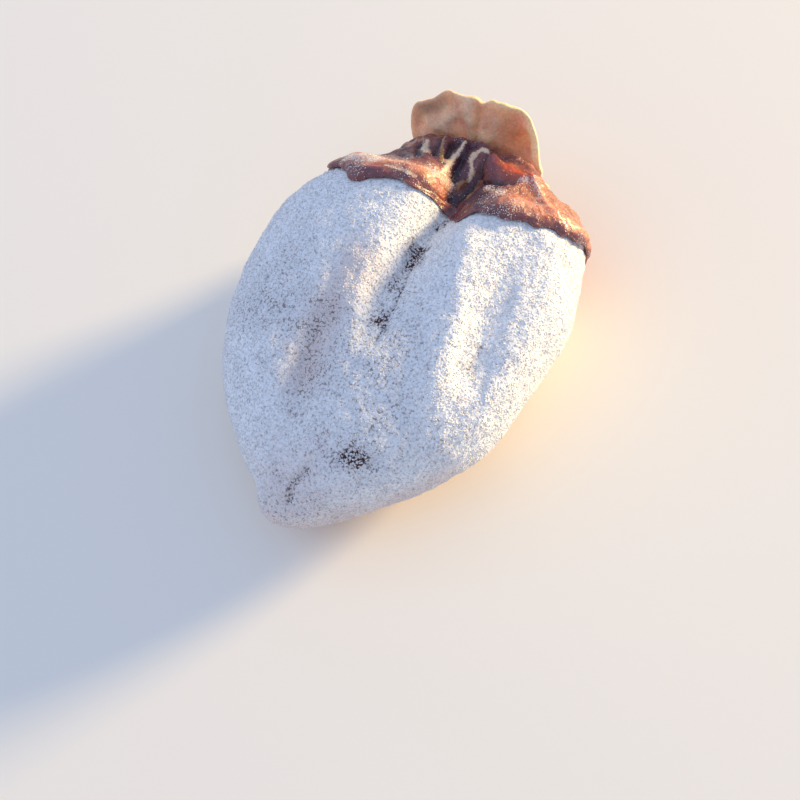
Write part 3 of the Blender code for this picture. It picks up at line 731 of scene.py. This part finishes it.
# Height of the collar's outer face: its own, the lips as a power mean of bells, and the radial puckers
def peelHeight(v, turn):
    form = collarForm
    lips = np.full_like(turn, form["lowestLip"] ** form["lipMix"])
    for degrees, wide, high in form["lips"]:
        lips = lips + (high * np.exp(-((turnFrom(turn, degrees) / wide) ** 4))) ** form["lipMix"]
    height = form["top"] + lips ** (1 / form["lipMix"]) * bell(v - form["lipAt"], form["lipWide"])
    for atRim, atCalyx, wide, high, top in form["puckers"]:
        middle = atRim * (1 - v) + atCalyx * v
        height = height + high * turnBell(turn, middle, wide) * bell(v - top, form["puckerLong"])
    return height


# The collar: from the crest of the lip back to the calyx its height is the formula above; from the crest
# forwards it is half an ellipse, v = crest - overhang sin(a), height = top (1 + cos(a)) / 2, rolled back
# over the bloom; then an inner face that follows the flesh.
def makeCollar(finish):
    form = collarForm
    turn = columnTurns(form["columns"], 1.3)
    lean = np.radians(np.linspace(form["rolledBy"], 0, form["frontRows"], endpoint=False))[:, None]
    vBack = np.linspace(form["lipAt"], form["end"], form["backRows"])[:, None]
    crest = peelHeight(np.full_like(turn, form["lipAt"]), turn)
    ring = np.stack([np.cos(turn), np.sin(turn), 0 * turn], -1) * 20.0
    uneven = 1 + layeredNoise(ring, form["unevenRoll"], 41)
    vFront = form["lipAt"] - form["overhang"] * uneven * np.sin(lean)
    hFront = crest * (1 + np.cos(lean)) / 2 + 0.02
    vOuter = np.concatenate([vFront, np.broadcast_to(vBack, (len(vBack), len(turn)))])
    turns = np.broadcast_to(turn, vOuter.shape)
    hOuter = np.concatenate([hFront, peelHeight(vBack + 0 * turn, turns[: len(vBack)])])
    edge = smoothStep(form["edgeFrom"], form["end"], vOuter)
    hOuter = hOuter * (1 - edge) + form["edgeHigh"] * edge
    points = shoulderPoint(vOuter, turns, hOuter)
    x, y, z = np.moveaxis(points, -1, 0)
    onTop = smoothStep(*form["topFrom"], z)
    relief = np.zeros_like(x)
    ridges = (form[k] for k in ("jellied", "greyRidge", "innerLoop", "brownBump"))
    for line, wide, high in (*form["streaks"], *form["clefts"], *form["amberLines"], *ridges):
        relief += onTop * high * bell(awayFromLine(x, y, line), wide)
    along = ring + vOuter[..., None] * (0, 0, 14.0)
    relief += layeredNoise(points, form["crumples"], 51)
    relief -= form["drawnDeep"] * (1 - np.abs(softNoise(along * (1, 1, 3.4), 3.0, 53))) ** 7
    relief += form["pores"][1] * softNoise(points, form["pores"][0], 54)
    relief *= 1 - smoothStep(0.85, 0.95, vOuter)
    normals = gridNormals(points)
    points = points + normals * relief[..., None]
    vInner = np.linspace(form["end"], 0.09, form["innerRows"])[:, None] + 0 * turn
    inner = shoulderPoint(vInner, np.broadcast_to(turn, vInner.shape), 0 * vInner + form["underside"])
    rings = np.concatenate([points, inner])
    rings[..., 2] = np.maximum(rings[..., 2], 0.0)
    ragged = 1 + 0.5 * softNoise(points, 1.6, 56)

    # 1 on the marks' lines, falling off by ragged bells of their half widths
    def near(marks, wider=1.0):
        mask = np.zeros_like(x)
        for line, wide, _ in marks:
            mask = np.maximum(mask, bell(awayFromLine(x, y, line), wide * wider * ragged))
        return onTop * mask

    notch = turnBell(turns, *form["notch"])
    bump = [form["brownBump"]]
    onLip = bell(vOuter - 0.08, 0.15) * (1 - notch) + 0.8 * near([form["innerLoop"]], 2.0)
    onLip = np.clip(onLip, 0, 1)
    # Painted shade along the underside of the lip's roll
    underLip = smoothStep(0.07, 0.0, vOuter + 0.03 * softNoise(points, 0.9, 58)) * (0.5 + 0.5 * onTop)
    # Painted highlights: a pale line in broken pieces along the lip's crest, and a pink one on the left
    # lip
    broken = smoothStep(-0.1, 0.4, softNoise(points, 3.0, 55)) * (1 - notch)
    pinkAt = 0.09 + 0.02 * softNoise(points, 1.5, 57)
    pinkHighlight = bell(vOuter - pinkAt, 0.016) * turnBell(turns, *form["pinkHighlightCrest"])
    crestHighlight = np.maximum(bell(vOuter - 0.11, 0.022) * broken, 1.2 * pinkHighlight)
    # The folded peel's own purple-brown, with painted shade added in the clefts, the notch between the
    # lips, under the lip's roll and in the dark places; the brown bump is its own colour
    folded = onTop * smoothStep(0.24, 0.38, vOuter) * bell(x - 1.0, 7.5)
    deep, brown = near(form["clefts"], 1.2), 0.95 * near(bump, 1.15)
    foldBrownAndShade = np.maximum.reduce([folded, deep, brown, notch * onTop, 0.8 * underLip])
    # Painted shade, darkest in the clefts between the folds and in the dark places
    cleftAndSpotShade = near(form["clefts"], 0.9)
    for middle, half, dark in form["foldShadePlaces"]:
        spot = onTop * placeBell(x, y, middle, half, ragged)
        foldBrownAndShade = np.maximum(foldBrownAndShade, dark * spot)
        cleftAndSpotShade = np.maximum(cleftAndSpotShade, (0.75 * dark - 0.1) * spot)
    frost = np.full_like(x, form["dustedOver"])
    for middle, half, thick in form["frosted"]:
        frost = np.maximum(frost, onTop * thick * placeBell(x, y, middle, half, ragged))
    for line, wide, thick in form["frostedLines"]:
        frost = np.maximum(frost, onTop * thick * bell(awayFromLine(x, y, line), wide * ragged))
    frost *= 1 - 0.8 * near(bump, 1.3)
    cream = onTop * placeBell(x, y, *form["cream"], ragged)
    glow = near([form["jellied"]], 0.9) * (0.15 + 0.85 * smoothStep(6.5, 10.5, x))
    innerMask = np.zeros(vInner.shape)
    masks = {
        "lip": onLip,
        "pale": np.maximum(near(form["streaks"]), 0.5 * crestHighlight),
        "amber": np.maximum(near(form["amberLines"]), 0.6 * cream),
        "glow": np.maximum(glow, 0.75 * near([form["orangeCurl"]])),
        "foldBrownAndShade": foldBrownAndShade,
        "cleftShade": cleftAndSpotShade,
        "frost": frost,
    }
    attributes = {title: np.concatenate([mask, innerMask]) for title, mask in masks.items()}
    piece = closedPiece("peelCollar", rings, None, finish, attributes)
    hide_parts("peel_collar")
    return points, onLip


# Persimmon peel dried to a leathery skin over jelly-like flesh: amber and half clear, so it glows orange
# where it is thin and lit and looks purple-brown where it is folded; glossy, with sugar dust. Its
# purple-brown also paints shade under the lip, in the notch and on folds out of the light, near-black
# paints the shade in its clefts, and pale lines paint highlights on the lip's crest.
def driedPeel():
    colours = {
        "amber": "#BC6E50",
        "lipOrange": "#DE9A76",
        "lipRed": "#C96447",
        "darkAmber": "#743E2C",
        "deepBrown": "#71404A",
        # Near-black painted shade for the clefts
        "cleftShadeBlack": "#3C262E",
        "redGlow": "#BE5230",
        "gold": "#AC7C48",
        "paleStreakAndHighlight": "#F3CFAA",
        "sugarDust": "#E0CCBE",
    }
    mottleAcross, dustAcross, fibreAcross = 2.2, 0.26, 0.9  # millimetres
    finish, shader, add, tint = newFinish("dried persimmon peel", colours)
    place = add("TexCoord", "Object")
    masks = ("lip", "pale", "glow", "foldBrownAndShade", "frost", "amber", "cleftShade")
    lip, pale, glow, foldBrownAndShade, frost, amber, cleftShade = (
        add("Attribute", "Fac", attribute_name=name) for name in masks
    )
    mottle, fibre, dust = (
        add("TexNoise", "Fac", {"Vector": place, "Scale": scaleOf(across), **more})
        for across, more in (
            (mottleAcross, {"Detail": 4.0, "Roughness": 0.6}),
            (fibreAcross, {"Detail": 3.0, "Distortion": 0.6}),
            (dustAcross, {"Detail": 2.0}),
        )
    )
    blotch = add("MapRange", "Result", {"Value": mottle, "From Min": 0.42, "From Max": 0.62})
    skin = add("Mix", 2, {0: blotch, 6: tint["amber"], 7: tint["darkAmber"]}, data_type="RGBA")
    reddish = add("MapRange", "Result", {"Value": fibre, "From Min": 0.42, "From Max": 0.66})
    lipTone = add("Mix", 2, {0: reddish, 6: tint["lipOrange"], 7: tint["lipRed"]}, data_type="RGBA")
    # The lines' edges wander with the fibres and the dust
    worn = add("Math", 0, {0: fibre, 1: 0.9, 2: dust}, operation="MULTIPLY_ADD")
    edged = []
    for line, reach in ((amber, 0.92), (pale, 0.96)):
        shifted = add("Math", 0, {0: worn, 1: 1.0, 2: line}, operation="MULTIPLY_ADD")
        edgeRange = {"From Min": 0.36 + reach, "From Max": 0.80 + reach}
        edged.append(add("MapRange", "Result", {"Value": shifted, **edgeRange}))
    # Dust lies where its noise is over an edge, which falls where the peel is frosted
    edge = add("MapRange", "Result", {"Value": frost, "To Min": 0.70, "To Max": 0.37})
    over = add("Math", 0, {0: dust, 1: edge}, operation="SUBTRACT")
    grit = add("MapRange", "Result", {"Value": over, "From Min": 0.0, "From Max": 0.16})
    colour = skin
    # The pale streaks' colour also paints the highlights on the lip's crest
    for mask, laid in (
        (lip, lipTone), (foldBrownAndShade, tint["deepBrown"]), (cleftShade, tint["cleftShadeBlack"]), (glow, tint["redGlow"]),
        (edged[0], tint["gold"]), (edged[1], tint["paleStreakAndHighlight"]), (grit, tint["sugarDust"]),
    ):
        colour = add("Mix", 2, {0: mask, 6: colour, 7: laid}, data_type="RGBA")
    height = add("Math", 0, {0: fibre, 1: 1.6, 2: dust}, operation="MULTIPLY_ADD")
    bump = add("Bump", "Normal", {"Height": height, "Strength": 0.5, "Distance": 0.25 * millimetre})
    gloss = add("MapRange", "Result", {"Value": foldBrownAndShade, "To Min": 0.42, "To Max": 0.22})
    rough = add("Math", 0, {0: grit, 1: 0.4, 2: gloss}, operation="MULTIPLY_ADD")
    feed(shader, {"Base Color": colour, "Normal": bump, "Roughness": rough, "IOR": 1.48})
    feed(shader, {"Coat Weight": 0.2, "Coat Roughness": 0.2, "Subsurface Weight": 0.5})
    feed(shader, {"Subsurface Radius": (1.0, 0.42, 0.2), "Subsurface Scale": 1.8 * millimetre})
    return finish


# The calyx: four sepals grown together in one waved disc.
calyxForm = {
    "columns": 480,
    "rows": 64,
    "middle": (1.0, 36.0, 12.2),  # on its face towards the fruit
    "radius": 12.3,
    "thick": 0.9,
    "hubThick": 1.5,
    "seatWide": 10.8,  # half axes of the oval where it lies against the fruit's end
    "seatHigh": 5.4,
    "lean": 0.42,  # how far it leans back for each millimetre beyond that oval
    # Margin: degrees, half width in degrees, rise in radius (the gaps between sepals, corners)
    "margin": (
        (89, 5, -1.1), (178, 6, -1.0), (268, 7, -1.0), (2, 6, -0.8),
        (104, 11, 0.3), (157, 13, 1.5), (54, 9, 0.6),
    ),
    "lobes": 0.35,  # how far its four sepals stand out
    # Ripples of its margin and waves of its face: how many in a turn, phase, height
    "ripples": ((9, 0.6, 0.15), (14, 2.1, 0.12)),
    "waves": ((5, 0.8, 0.4), (11, 1.0, 0.2)),
    # Where its margin curls: degrees, half width in degrees, how far (below zero towards the fruit)
    "curls": ((26, 20, -1.2), (89, 9, 0.7), (108, 14, 0.2)),
    "veins": 22,
    "veinHigh": 0.07,
    "crumples": ((4.6, 0.4), (2.2, 0.26), (0.9, 0.1)),  # size, height
    # Folds that run out to the margin: degrees at the hub, degrees at the margin, half width, height
    "folds": ((96, 99, 8, 0.6), (150, 162, 10, -0.4), (72, 68, 8, 0.5), (30, 24, 9, 0.4)),
    # Ridges across a sepal: degrees, half width in degrees, share of the radius, half share, height
    "ridges": ((130, 24, 0.72, 0.1, 0.8),),
    # Bowls: degrees, half width in degrees, share of the radius, half share, depth
    "bowls": (
        (46, 20, 0.68, 0.22, 1.3), (112, 12, 0.6, 0.2, 0.6),
        (225, 25, 0.6, 0.2, 0.5), (315, 25, 0.6, 0.2, 0.5),
    ),
    # Tones of its face: degrees, half width in degrees, share of the radius, half share, how strong
    # The face's band is a painted highlight on the ridge across the left sepal; its hollow is painted
    # shade in the right sepal's bowl
    "faceTones": {"highlightBand": (130, 24, 0.7, 0.1, 0.6), "hollowShade": (46, 20, 0.7, 0.2, 1.0)},
    # Tones that grow outwards: degrees, half width in degrees, shares where they start and are full,
    # how strong
    "outerTones": {
        # A painted sunlit edge on the right sepal's margin
        "rim": (32, 22, 0.85, 0.93, 0.8),
        # A painted highlight beside the groove between two sepals
        "highlightBand": (101, 6, 0.6, 0.85, 0.7),
        # Painted shade in the groove between two sepals
        "hollowShade": (91, 4, 0.45, 0.7, 0.7),
        # Painted shade on the outer part of the left sepal
        "shadedOuterLeft": (142, 24, 0.78, 0.9, 1.0),
    },
    "rimAllRound": 0.4,
}


# Radius of the margin: the mean, four lobes, two finer waves and bells for the gaps
def calyxRadius(turn):
    radius = calyxForm["radius"] + calyxForm["lobes"] * np.cos(4 * (turn - np.radians(50)))
    for count, phase, high in calyxForm["ripples"]:
        radius = radius + high * np.cos(count * turn + phase)
    for degrees, wide, rise in calyxForm["margin"]:
        radius = radius + rise * turnBell(turn, degrees, wide)
    return radius


# The face towards the fruit, share of the way from the hub's middle to the margin: flat within an oval,
# then leaning back, with waves that grow towards the margin and the margin's own curls.
def calyxFace(share, turn):
    middleX, middleY, middleZ = calyxForm["middle"]
    radius = share * calyxRadius(turn)
    outer = smoothStep(0.35, 1.0, share)
    c, s = np.cos(turn), np.sin(turn)
    beyond = radius - 1 / np.hypot(c / calyxForm["seatWide"], s / calyxForm["seatHigh"])
    y = middleY + calyxForm["lean"] * beyond * smoothStep(-1.0, 2.5, beyond)
    for count, phase, high in calyxForm["waves"]:
        y = y + high * outer * np.cos(count * turn + phase)
    for degrees, wide, high in calyxForm["curls"]:
        y = y + high * smoothStep(0.6, 1.0, share) * turnBell(turn, degrees, wide)
    return np.stack([middleX + radius * c, y, middleZ + radius * s], -1)


def makeCalyx(finish):
    form = calyxForm
    turn = np.linspace(0, 2 * np.pi, form["columns"], endpoint=False)
    share = (np.linspace(0.02, 1.0, form["rows"]) ** 0.8)[:, None]
    turns, shares = np.broadcast_arrays(turn, share)
    ragged = 1 + 0.007 * softNoise(np.stack([np.cos(turn), np.sin(turn), 0 * turn], -1) * 12.0, 0.9, 61)
    front = calyxFace(shares * ragged, turns)
    thick = form["thick"] + (form["hubThick"] - form["thick"]) * (1 - smoothStep(0.1, 0.45, shares))
    thin = thick * (1 - 0.55 * smoothStep(0.7, 1.0, shares))
    backwards = np.array([0.0, 1.0, 0.0])
    back = front + thin[..., None] * backwards
    meander = 2.6 * softNoise(front, 4.5, 62)
    vein = np.abs(np.cos(form["veins"] / 2 * turns + meander)) ** 10 * smoothStep(0.25, 0.5, shares)
    vein = vein * (1 - 0.7 * smoothStep(0.75, 1.0, shares))
    vein = vein * smoothStep(-0.5, 0.4, softNoise(front, 3.0, 65))
    forms = layeredNoise(front, form["crumples"], 63) * (1 - 0.6 * smoothStep(0.8, 1.0, shares))
    for atHub, atMargin, wide, high in form["folds"]:
        forms = forms + high * turnBell(turns, atHub * (1 - shares) + atMargin * shares, wide)
    for side, rows in ((1, form["ridges"]), (-1, form["bowls"])):
        for degrees, wide, at, long, high in rows:
            forms = forms + side * high * turnBell(turns, degrees, wide) * bell(shares - at, long)
    lift = (form["veinHigh"] * vein + forms) * smoothStep(0.2, 0.5, shares)
    front = front - lift[..., None] * backwards
    back = back - 0.6 * lift[..., None] * backwards
    rings = np.concatenate([front, back[::-1]])
    tone = {
        title: strong * turnBell(turns, degrees, wide) * smoothStep(start, full, shares)
        for title, (degrees, wide, start, full, strong) in form["outerTones"].items()
    }
    for title, (degrees, wide, at, long, strong) in form["faceTones"].items():
        onFace = strong * turnBell(turns, degrees, wide) * bell(shares - at, long)
        tone[title] = np.maximum(tone[title], onFace)
    # Paler along the whole margin, with the painted sunlit edge on the right
    rim = np.clip(form["rimAllRound"] * smoothStep(0.94, 1.0, shares) + tone["rim"], 0, 1)
    middle = np.array(form["middle"])
    poles = (middle, middle + (0, form["hubThick"], 0))
    attributes = {
        "vein": np.concatenate([vein, vein[::-1]]),
        "rim": np.concatenate([rim, 0.5 * rim[::-1]]),
        "behind": np.concatenate([0 * shares, smoothStep(1.0, 0.97, shares[::-1])]),
    }
    for title in ("hollowShade", "highlightBand", "shadedOuterLeft"):
        attributes[title] = np.concatenate([tone[title], 0 * shares])
    piece = closedPiece("dryCalyx", rings, poles, finish, attributes)
    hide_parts("calyx")


# A persimmon's calyx, dried: thin, leathery and stiff. It gives the eye a matt pinkish tan with fine
# raised veins and a paler margin. The face's light tans stand in for light shining through the sepals
# from behind, and painted light and shade give it form: a sunlit right edge, highlights on a ridge and
# beside a groove, and shade in the hollows and on the outer left sepal; the back is a darker, mottled
# brown.
def dryCalyxSkin():
    colours = {
        "tan": "#FFD096",
        "pinkTan": "#EDB48C",
        "vein": "#FBE2BC",
        # The next four colours paint shade in the hollows, shade on the outer left sepal, highlights and
        # the sunlit edge
        "brown": "#E8A66C",
        "shadedOuterLeft": "#BE906C",
        "highlightPale": "#FFE2B8",
        "margin": "#FFE8BC",
        "back": "#8E6A4C",
        "backRib": "#A98260",
    }
    mottleAcross, grainAcross = 3.2, 0.4  # millimetres
    finish, shader, add, tint = newFinish("dry calyx skin", colours)
    place = add("TexCoord", "Object")
    masks = ("rim", "highlightBand", "shadedOuterLeft", "behind", "vein", "hollowShade")
    rim, highlightBand, shadedOuterLeft, behind, vein, hollowShade = (add("Attribute", "Fac", attribute_name=n) for n in masks)
    noise = {"Vector": place, "Roughness": 0.6}
    mottle, grain = (
        add("TexNoise", "Fac", {**noise, "Scale": scaleOf(across), "Detail": detail})
        for across, detail in ((mottleAcross, 5.0), (grainAcross, 3.0))
    )
    patch = add("MapRange", "Result", {"Value": mottle, "From Min": 0.35, "From Max": 0.65})
    faint = add("Math", 0, {0: vein, 1: 0.3}, operation="MULTIPLY")
    ribbed = add("Mix", 2, {0: patch, 6: tint["back"], 7: tint["backRib"]}, data_type="RGBA")
    colour = tint["tan"]
    # Painted light and shade: the highlight band, the sunlit margin, the hollows and the shaded outer
    # left
    for mask, over in (
        (patch, tint["pinkTan"]), (hollowShade, tint["brown"]), (faint, tint["vein"]),
        (shadedOuterLeft, tint["shadedOuterLeft"]), (highlightBand, tint["highlightPale"]), (rim, tint["margin"]), (behind, ribbed),
    ):
        colour = add("Mix", 2, {0: mask, 6: colour, 7: over}, data_type="RGBA")
    fineRange = {"From Min": 0.35, "From Max": 0.65, "To Min": 0.84, "To Max": 1.06}
    fine = add("MapRange", "Result", {"Value": grain, **fineRange})
    colour = add("VectorMath", "Vector", {0: colour, "Scale": fine}, operation="SCALE")
    bump = add("Bump", "Normal", {"Height": grain, "Strength": 0.5, "Distance": 0.3 * millimetre})
    feed(shader, {"Base Color": colour, "Normal": bump, "Roughness": 0.62, "IOR": 1.45})
    feed(shader, {"Subsurface Weight": 0.3, "Subsurface Radius": (1.0, 0.72, 0.45)})
    feed(shader, {"Subsurface Scale": 0.9 * millimetre})
    return finish


# The stub of the cut stem, flared at its foot and a little bent.
stemForm = {
    "columns": 120,
    "rows": 60,
    "radius": 1.7,
    "length": 4.6,
    "foot": 37.8,  # y of its foot, just clear of the calyx
    # Share of the length, radius against the mean radius
    "profile": (
        (0.0, 1.15), (0.06, 1.35), (0.22, 1.05), (0.5, 0.92), (0.8, 0.98), (0.96, 1.05), (1.0, 0.9),
    ),
    "fibres": 22,
    "fibreHigh": 0.07,
}


def makeStem(finish):
    form = stemForm
    middleX, _, middleZ = calyxForm["middle"]
    turn = np.linspace(0, 2 * np.pi, form["columns"], endpoint=False)
    share = np.linspace(0, 1, form["rows"])[:, None]
    profile = np.array(form["profile"])
    wide = easedRows(profile[:, 0], profile[:, 1:], share[:, 0])
    turns, shares = np.broadcast_arrays(turn, share)
    radius = form["radius"] * wide * (1 + 0.06 * np.cos(3 * turns + 2 * shares))
    fibre = np.cos(form["fibres"] * turns + 3 * np.sin(4 * shares)) * (0.5 + 0.5 * np.cos(3 * turns))
    radius = radius + form["fibreHigh"] * fibre
    x = middleX + 0.5 * shares**2 + radius * np.cos(turns)
    z = middleZ - 0.3 * shares**2 + radius * np.sin(turns)
    points = np.stack([x, form["foot"] + shares * form["length"], z], -1)
    cut = [0.8, 0.5, 0.2]  # rings of the cut face
    endMiddle = points[-1].mean(axis=0)
    caps = [endMiddle + (points[-1] - endMiddle) * c + (0, 0.12 * np.cos(9 * c), 0) for c in cut]
    rings = np.concatenate([points, caps])
    poles = (points[0].mean(axis=0), endMiddle + (0, -0.1, 0))
    cutMask = np.concatenate([0 * shares, np.ones((len(cut), len(turn)))])
    piece = closedPiece("dryStem", rings, poles, finish, {"cutFace": cutMask})
    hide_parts("stem")


# A fruit stalk, cut and dried: brown, fibrous wood with a paler cut face.
def dryStemWood():
    colours = {"bark": "#4A3324", "fibre": "#6E5238", "cut": "#9A7D5A"}
    fibreAcross = 0.5  # millimetres
    finish, shader, add, tint = newFinish("dry stem wood", colours)
    place = add("TexCoord", "Object")
    stretched = add("Mapping", "Vector", {"Vector": place, "Scale": (1.0, 0.15, 1.0)})
    cutFace = add("Attribute", "Fac", attribute_name="cutFace")
    noise = {"Vector": stretched, "Scale": scaleOf(fibreAcross), "Detail": 4.0}
    fibre = add("TexNoise", "Fac", noise)
    colour = tint["bark"]
    for mask, over in ((fibre, tint["fibre"]), (cutFace, tint["cut"])):
        colour = add("Mix", 2, {0: mask, 6: colour, 7: over}, data_type="RGBA")
    bump = add("Bump", "Normal", {"Height": fibre, "Strength": 0.5, "Distance": 0.15 * millimetre})
    feed(shader, {"Base Color": colour, "Normal": bump, "Roughness": 0.8})
    return finish


# The camera, as fitted to the photograph: its place in metres and its own axes.
cameraSetup = {
    "place": (0.0504, -0.0528, 0.1284),
    "right": (0.8757, 0.4659, -0.1269),
    "up": (-0.3695, 0.8157, 0.4450),
    "back": (0.3108, -0.3428, 0.8865),
    "lens": 40.5,
    "sensor": 36.0,
}


def makeCamera():
    data = bpy.data.cameras.new("camera")
    data.lens, data.sensor_width = cameraSetup["lens"], cameraSetup["sensor"]
    data.clip_start, data.clip_end = 0.01, 20.0
    camera = bpy.data.objects.new("camera", data)
    stated = np.array([cameraSetup[k] for k in ("right", "up", "back")]).T
    axes, _ = np.linalg.qr(stated)  # made exactly square to each other
    axes *= np.sign(np.sum(axes * stated, axis=0))
    camera.matrix_world = Matrix.Translation(cameraSetup["place"]) @ Matrix(axes.tolist()).to_4x4()
    bpy.context.scene.collection.objects.link(camera)
    bpy.context.scene.camera = camera


# A low warm lamp behind the fruit to its right, a large weak cool one from the left, a pale blue
# surround and a plain pale floor.
studioLight = {
    "middle": (0.002, 0.004, 0.012),
    # Lamps: the way to it, how far in metres, its width in metres, watts, colour
    "key": ((0.574, 0.819, 0.178), 1.6, 0.3, 50.0, "#FFE3A8"),
    "fill": ((-0.6, -0.2, 0.75), 0.9, 0.8, 1.2, "#C4D8FF"),
    "surround": ("#BED2F8", 0.80),
    "floor": "#FFF4E2",
    "floorHalf": 2.0,
}


# A turn that makes -Z point against the given direction
def aimed(back):
    side = np.cross((0, 0, 1), back)
    side /= np.linalg.norm(side)
    return Matrix(np.array([side, np.cross(back, side), back]).T.tolist()).to_4x4()


def makeStudio():
    middle = np.array(studioLight["middle"])
    for name in ("key", "fill"):
        towards, away, size, watts, colour = studioLight[name]
        data = bpy.data.lights.new(name, "AREA")
        data.shape, data.size, data.energy = "DISK", size, watts
        data.color = hexColour(colour)[:3]
        light = bpy.data.objects.new(name, data)
        towards = np.array(towards) / np.linalg.norm(towards)
        light.matrix_world = Matrix.Translation(middle + towards * away) @ aimed(towards)
        bpy.context.scene.collection.objects.link(light)
    world = bpy.data.worlds.new("pale surround")
    world.use_nodes = True
    colour, strength = studioLight["surround"]
    background = world.node_tree.nodes["Background"]
    feed(background, {"Color": hexColour(colour), "Strength": strength})
    bpy.context.scene.world = world
    bpy.context.scene.view_settings.view_transform = "Standard"  # keeps the bloom white
    finish, shader, _, tint = newFinish("pale floor", {"floor": studioLight["floor"]})
    feed(shader, {"Base Color": tint["floor"], "Roughness": 0.9})
    mesh = bpy.data.meshes.new("floor")
    half = studioLight["floorHalf"]
    corners = [(-half, -half, 0), (half, -half, 0), (half, half, 0), (-half, half, 0)]
    mesh.from_pydata(corners, [], [(0, 1, 2, 3)])
    mesh.materials.append(finish)
    floor = bpy.data.objects.new("floor", mesh)
    bpy.context.scene.collection.objects.link(floor)


fleshPoints, fleshBloom = makeFlesh(sugarBloomOnFlesh())
crystals = sugarCrystals()
# Most grains where the bloom is thick, fewer low down, and none where the fruit rests
grainWeight = (0.3 + 0.7 * fleshBloom) * smoothStep(0.25, 0.8, fleshPoints[..., 2])
grainWeight = grainWeight * (0.45 + 0.55 * smoothStep(5.0, 10.0, fleshPoints[..., 2]))
for k, count in enumerate(grainForm["onFlesh"]):
    name, radius = "bloomGrains" + "AB"[k], grainForm["radius"]
    grains = makeGrains(name, fleshPoints, grainWeight, count, radius, 7 + k, crystals)
collarPoints, collarLip = makeCollar(driedPeel())
lipWeight = (0.15 + collarLip) * (0.12 + smoothStep(0.05, 0.6, softNoise(collarPoints, 2.4, 81)))
count, radius = grainForm["onPeel"], grainForm["peelRadius"]
lipGrains = makeGrains("peelGrains", collarPoints, lipWeight, count, radius, 9, crystals)
makeCalyx(dryCalyxSkin())
makeStem(dryStemWood())
makeCamera()
makeStudio()
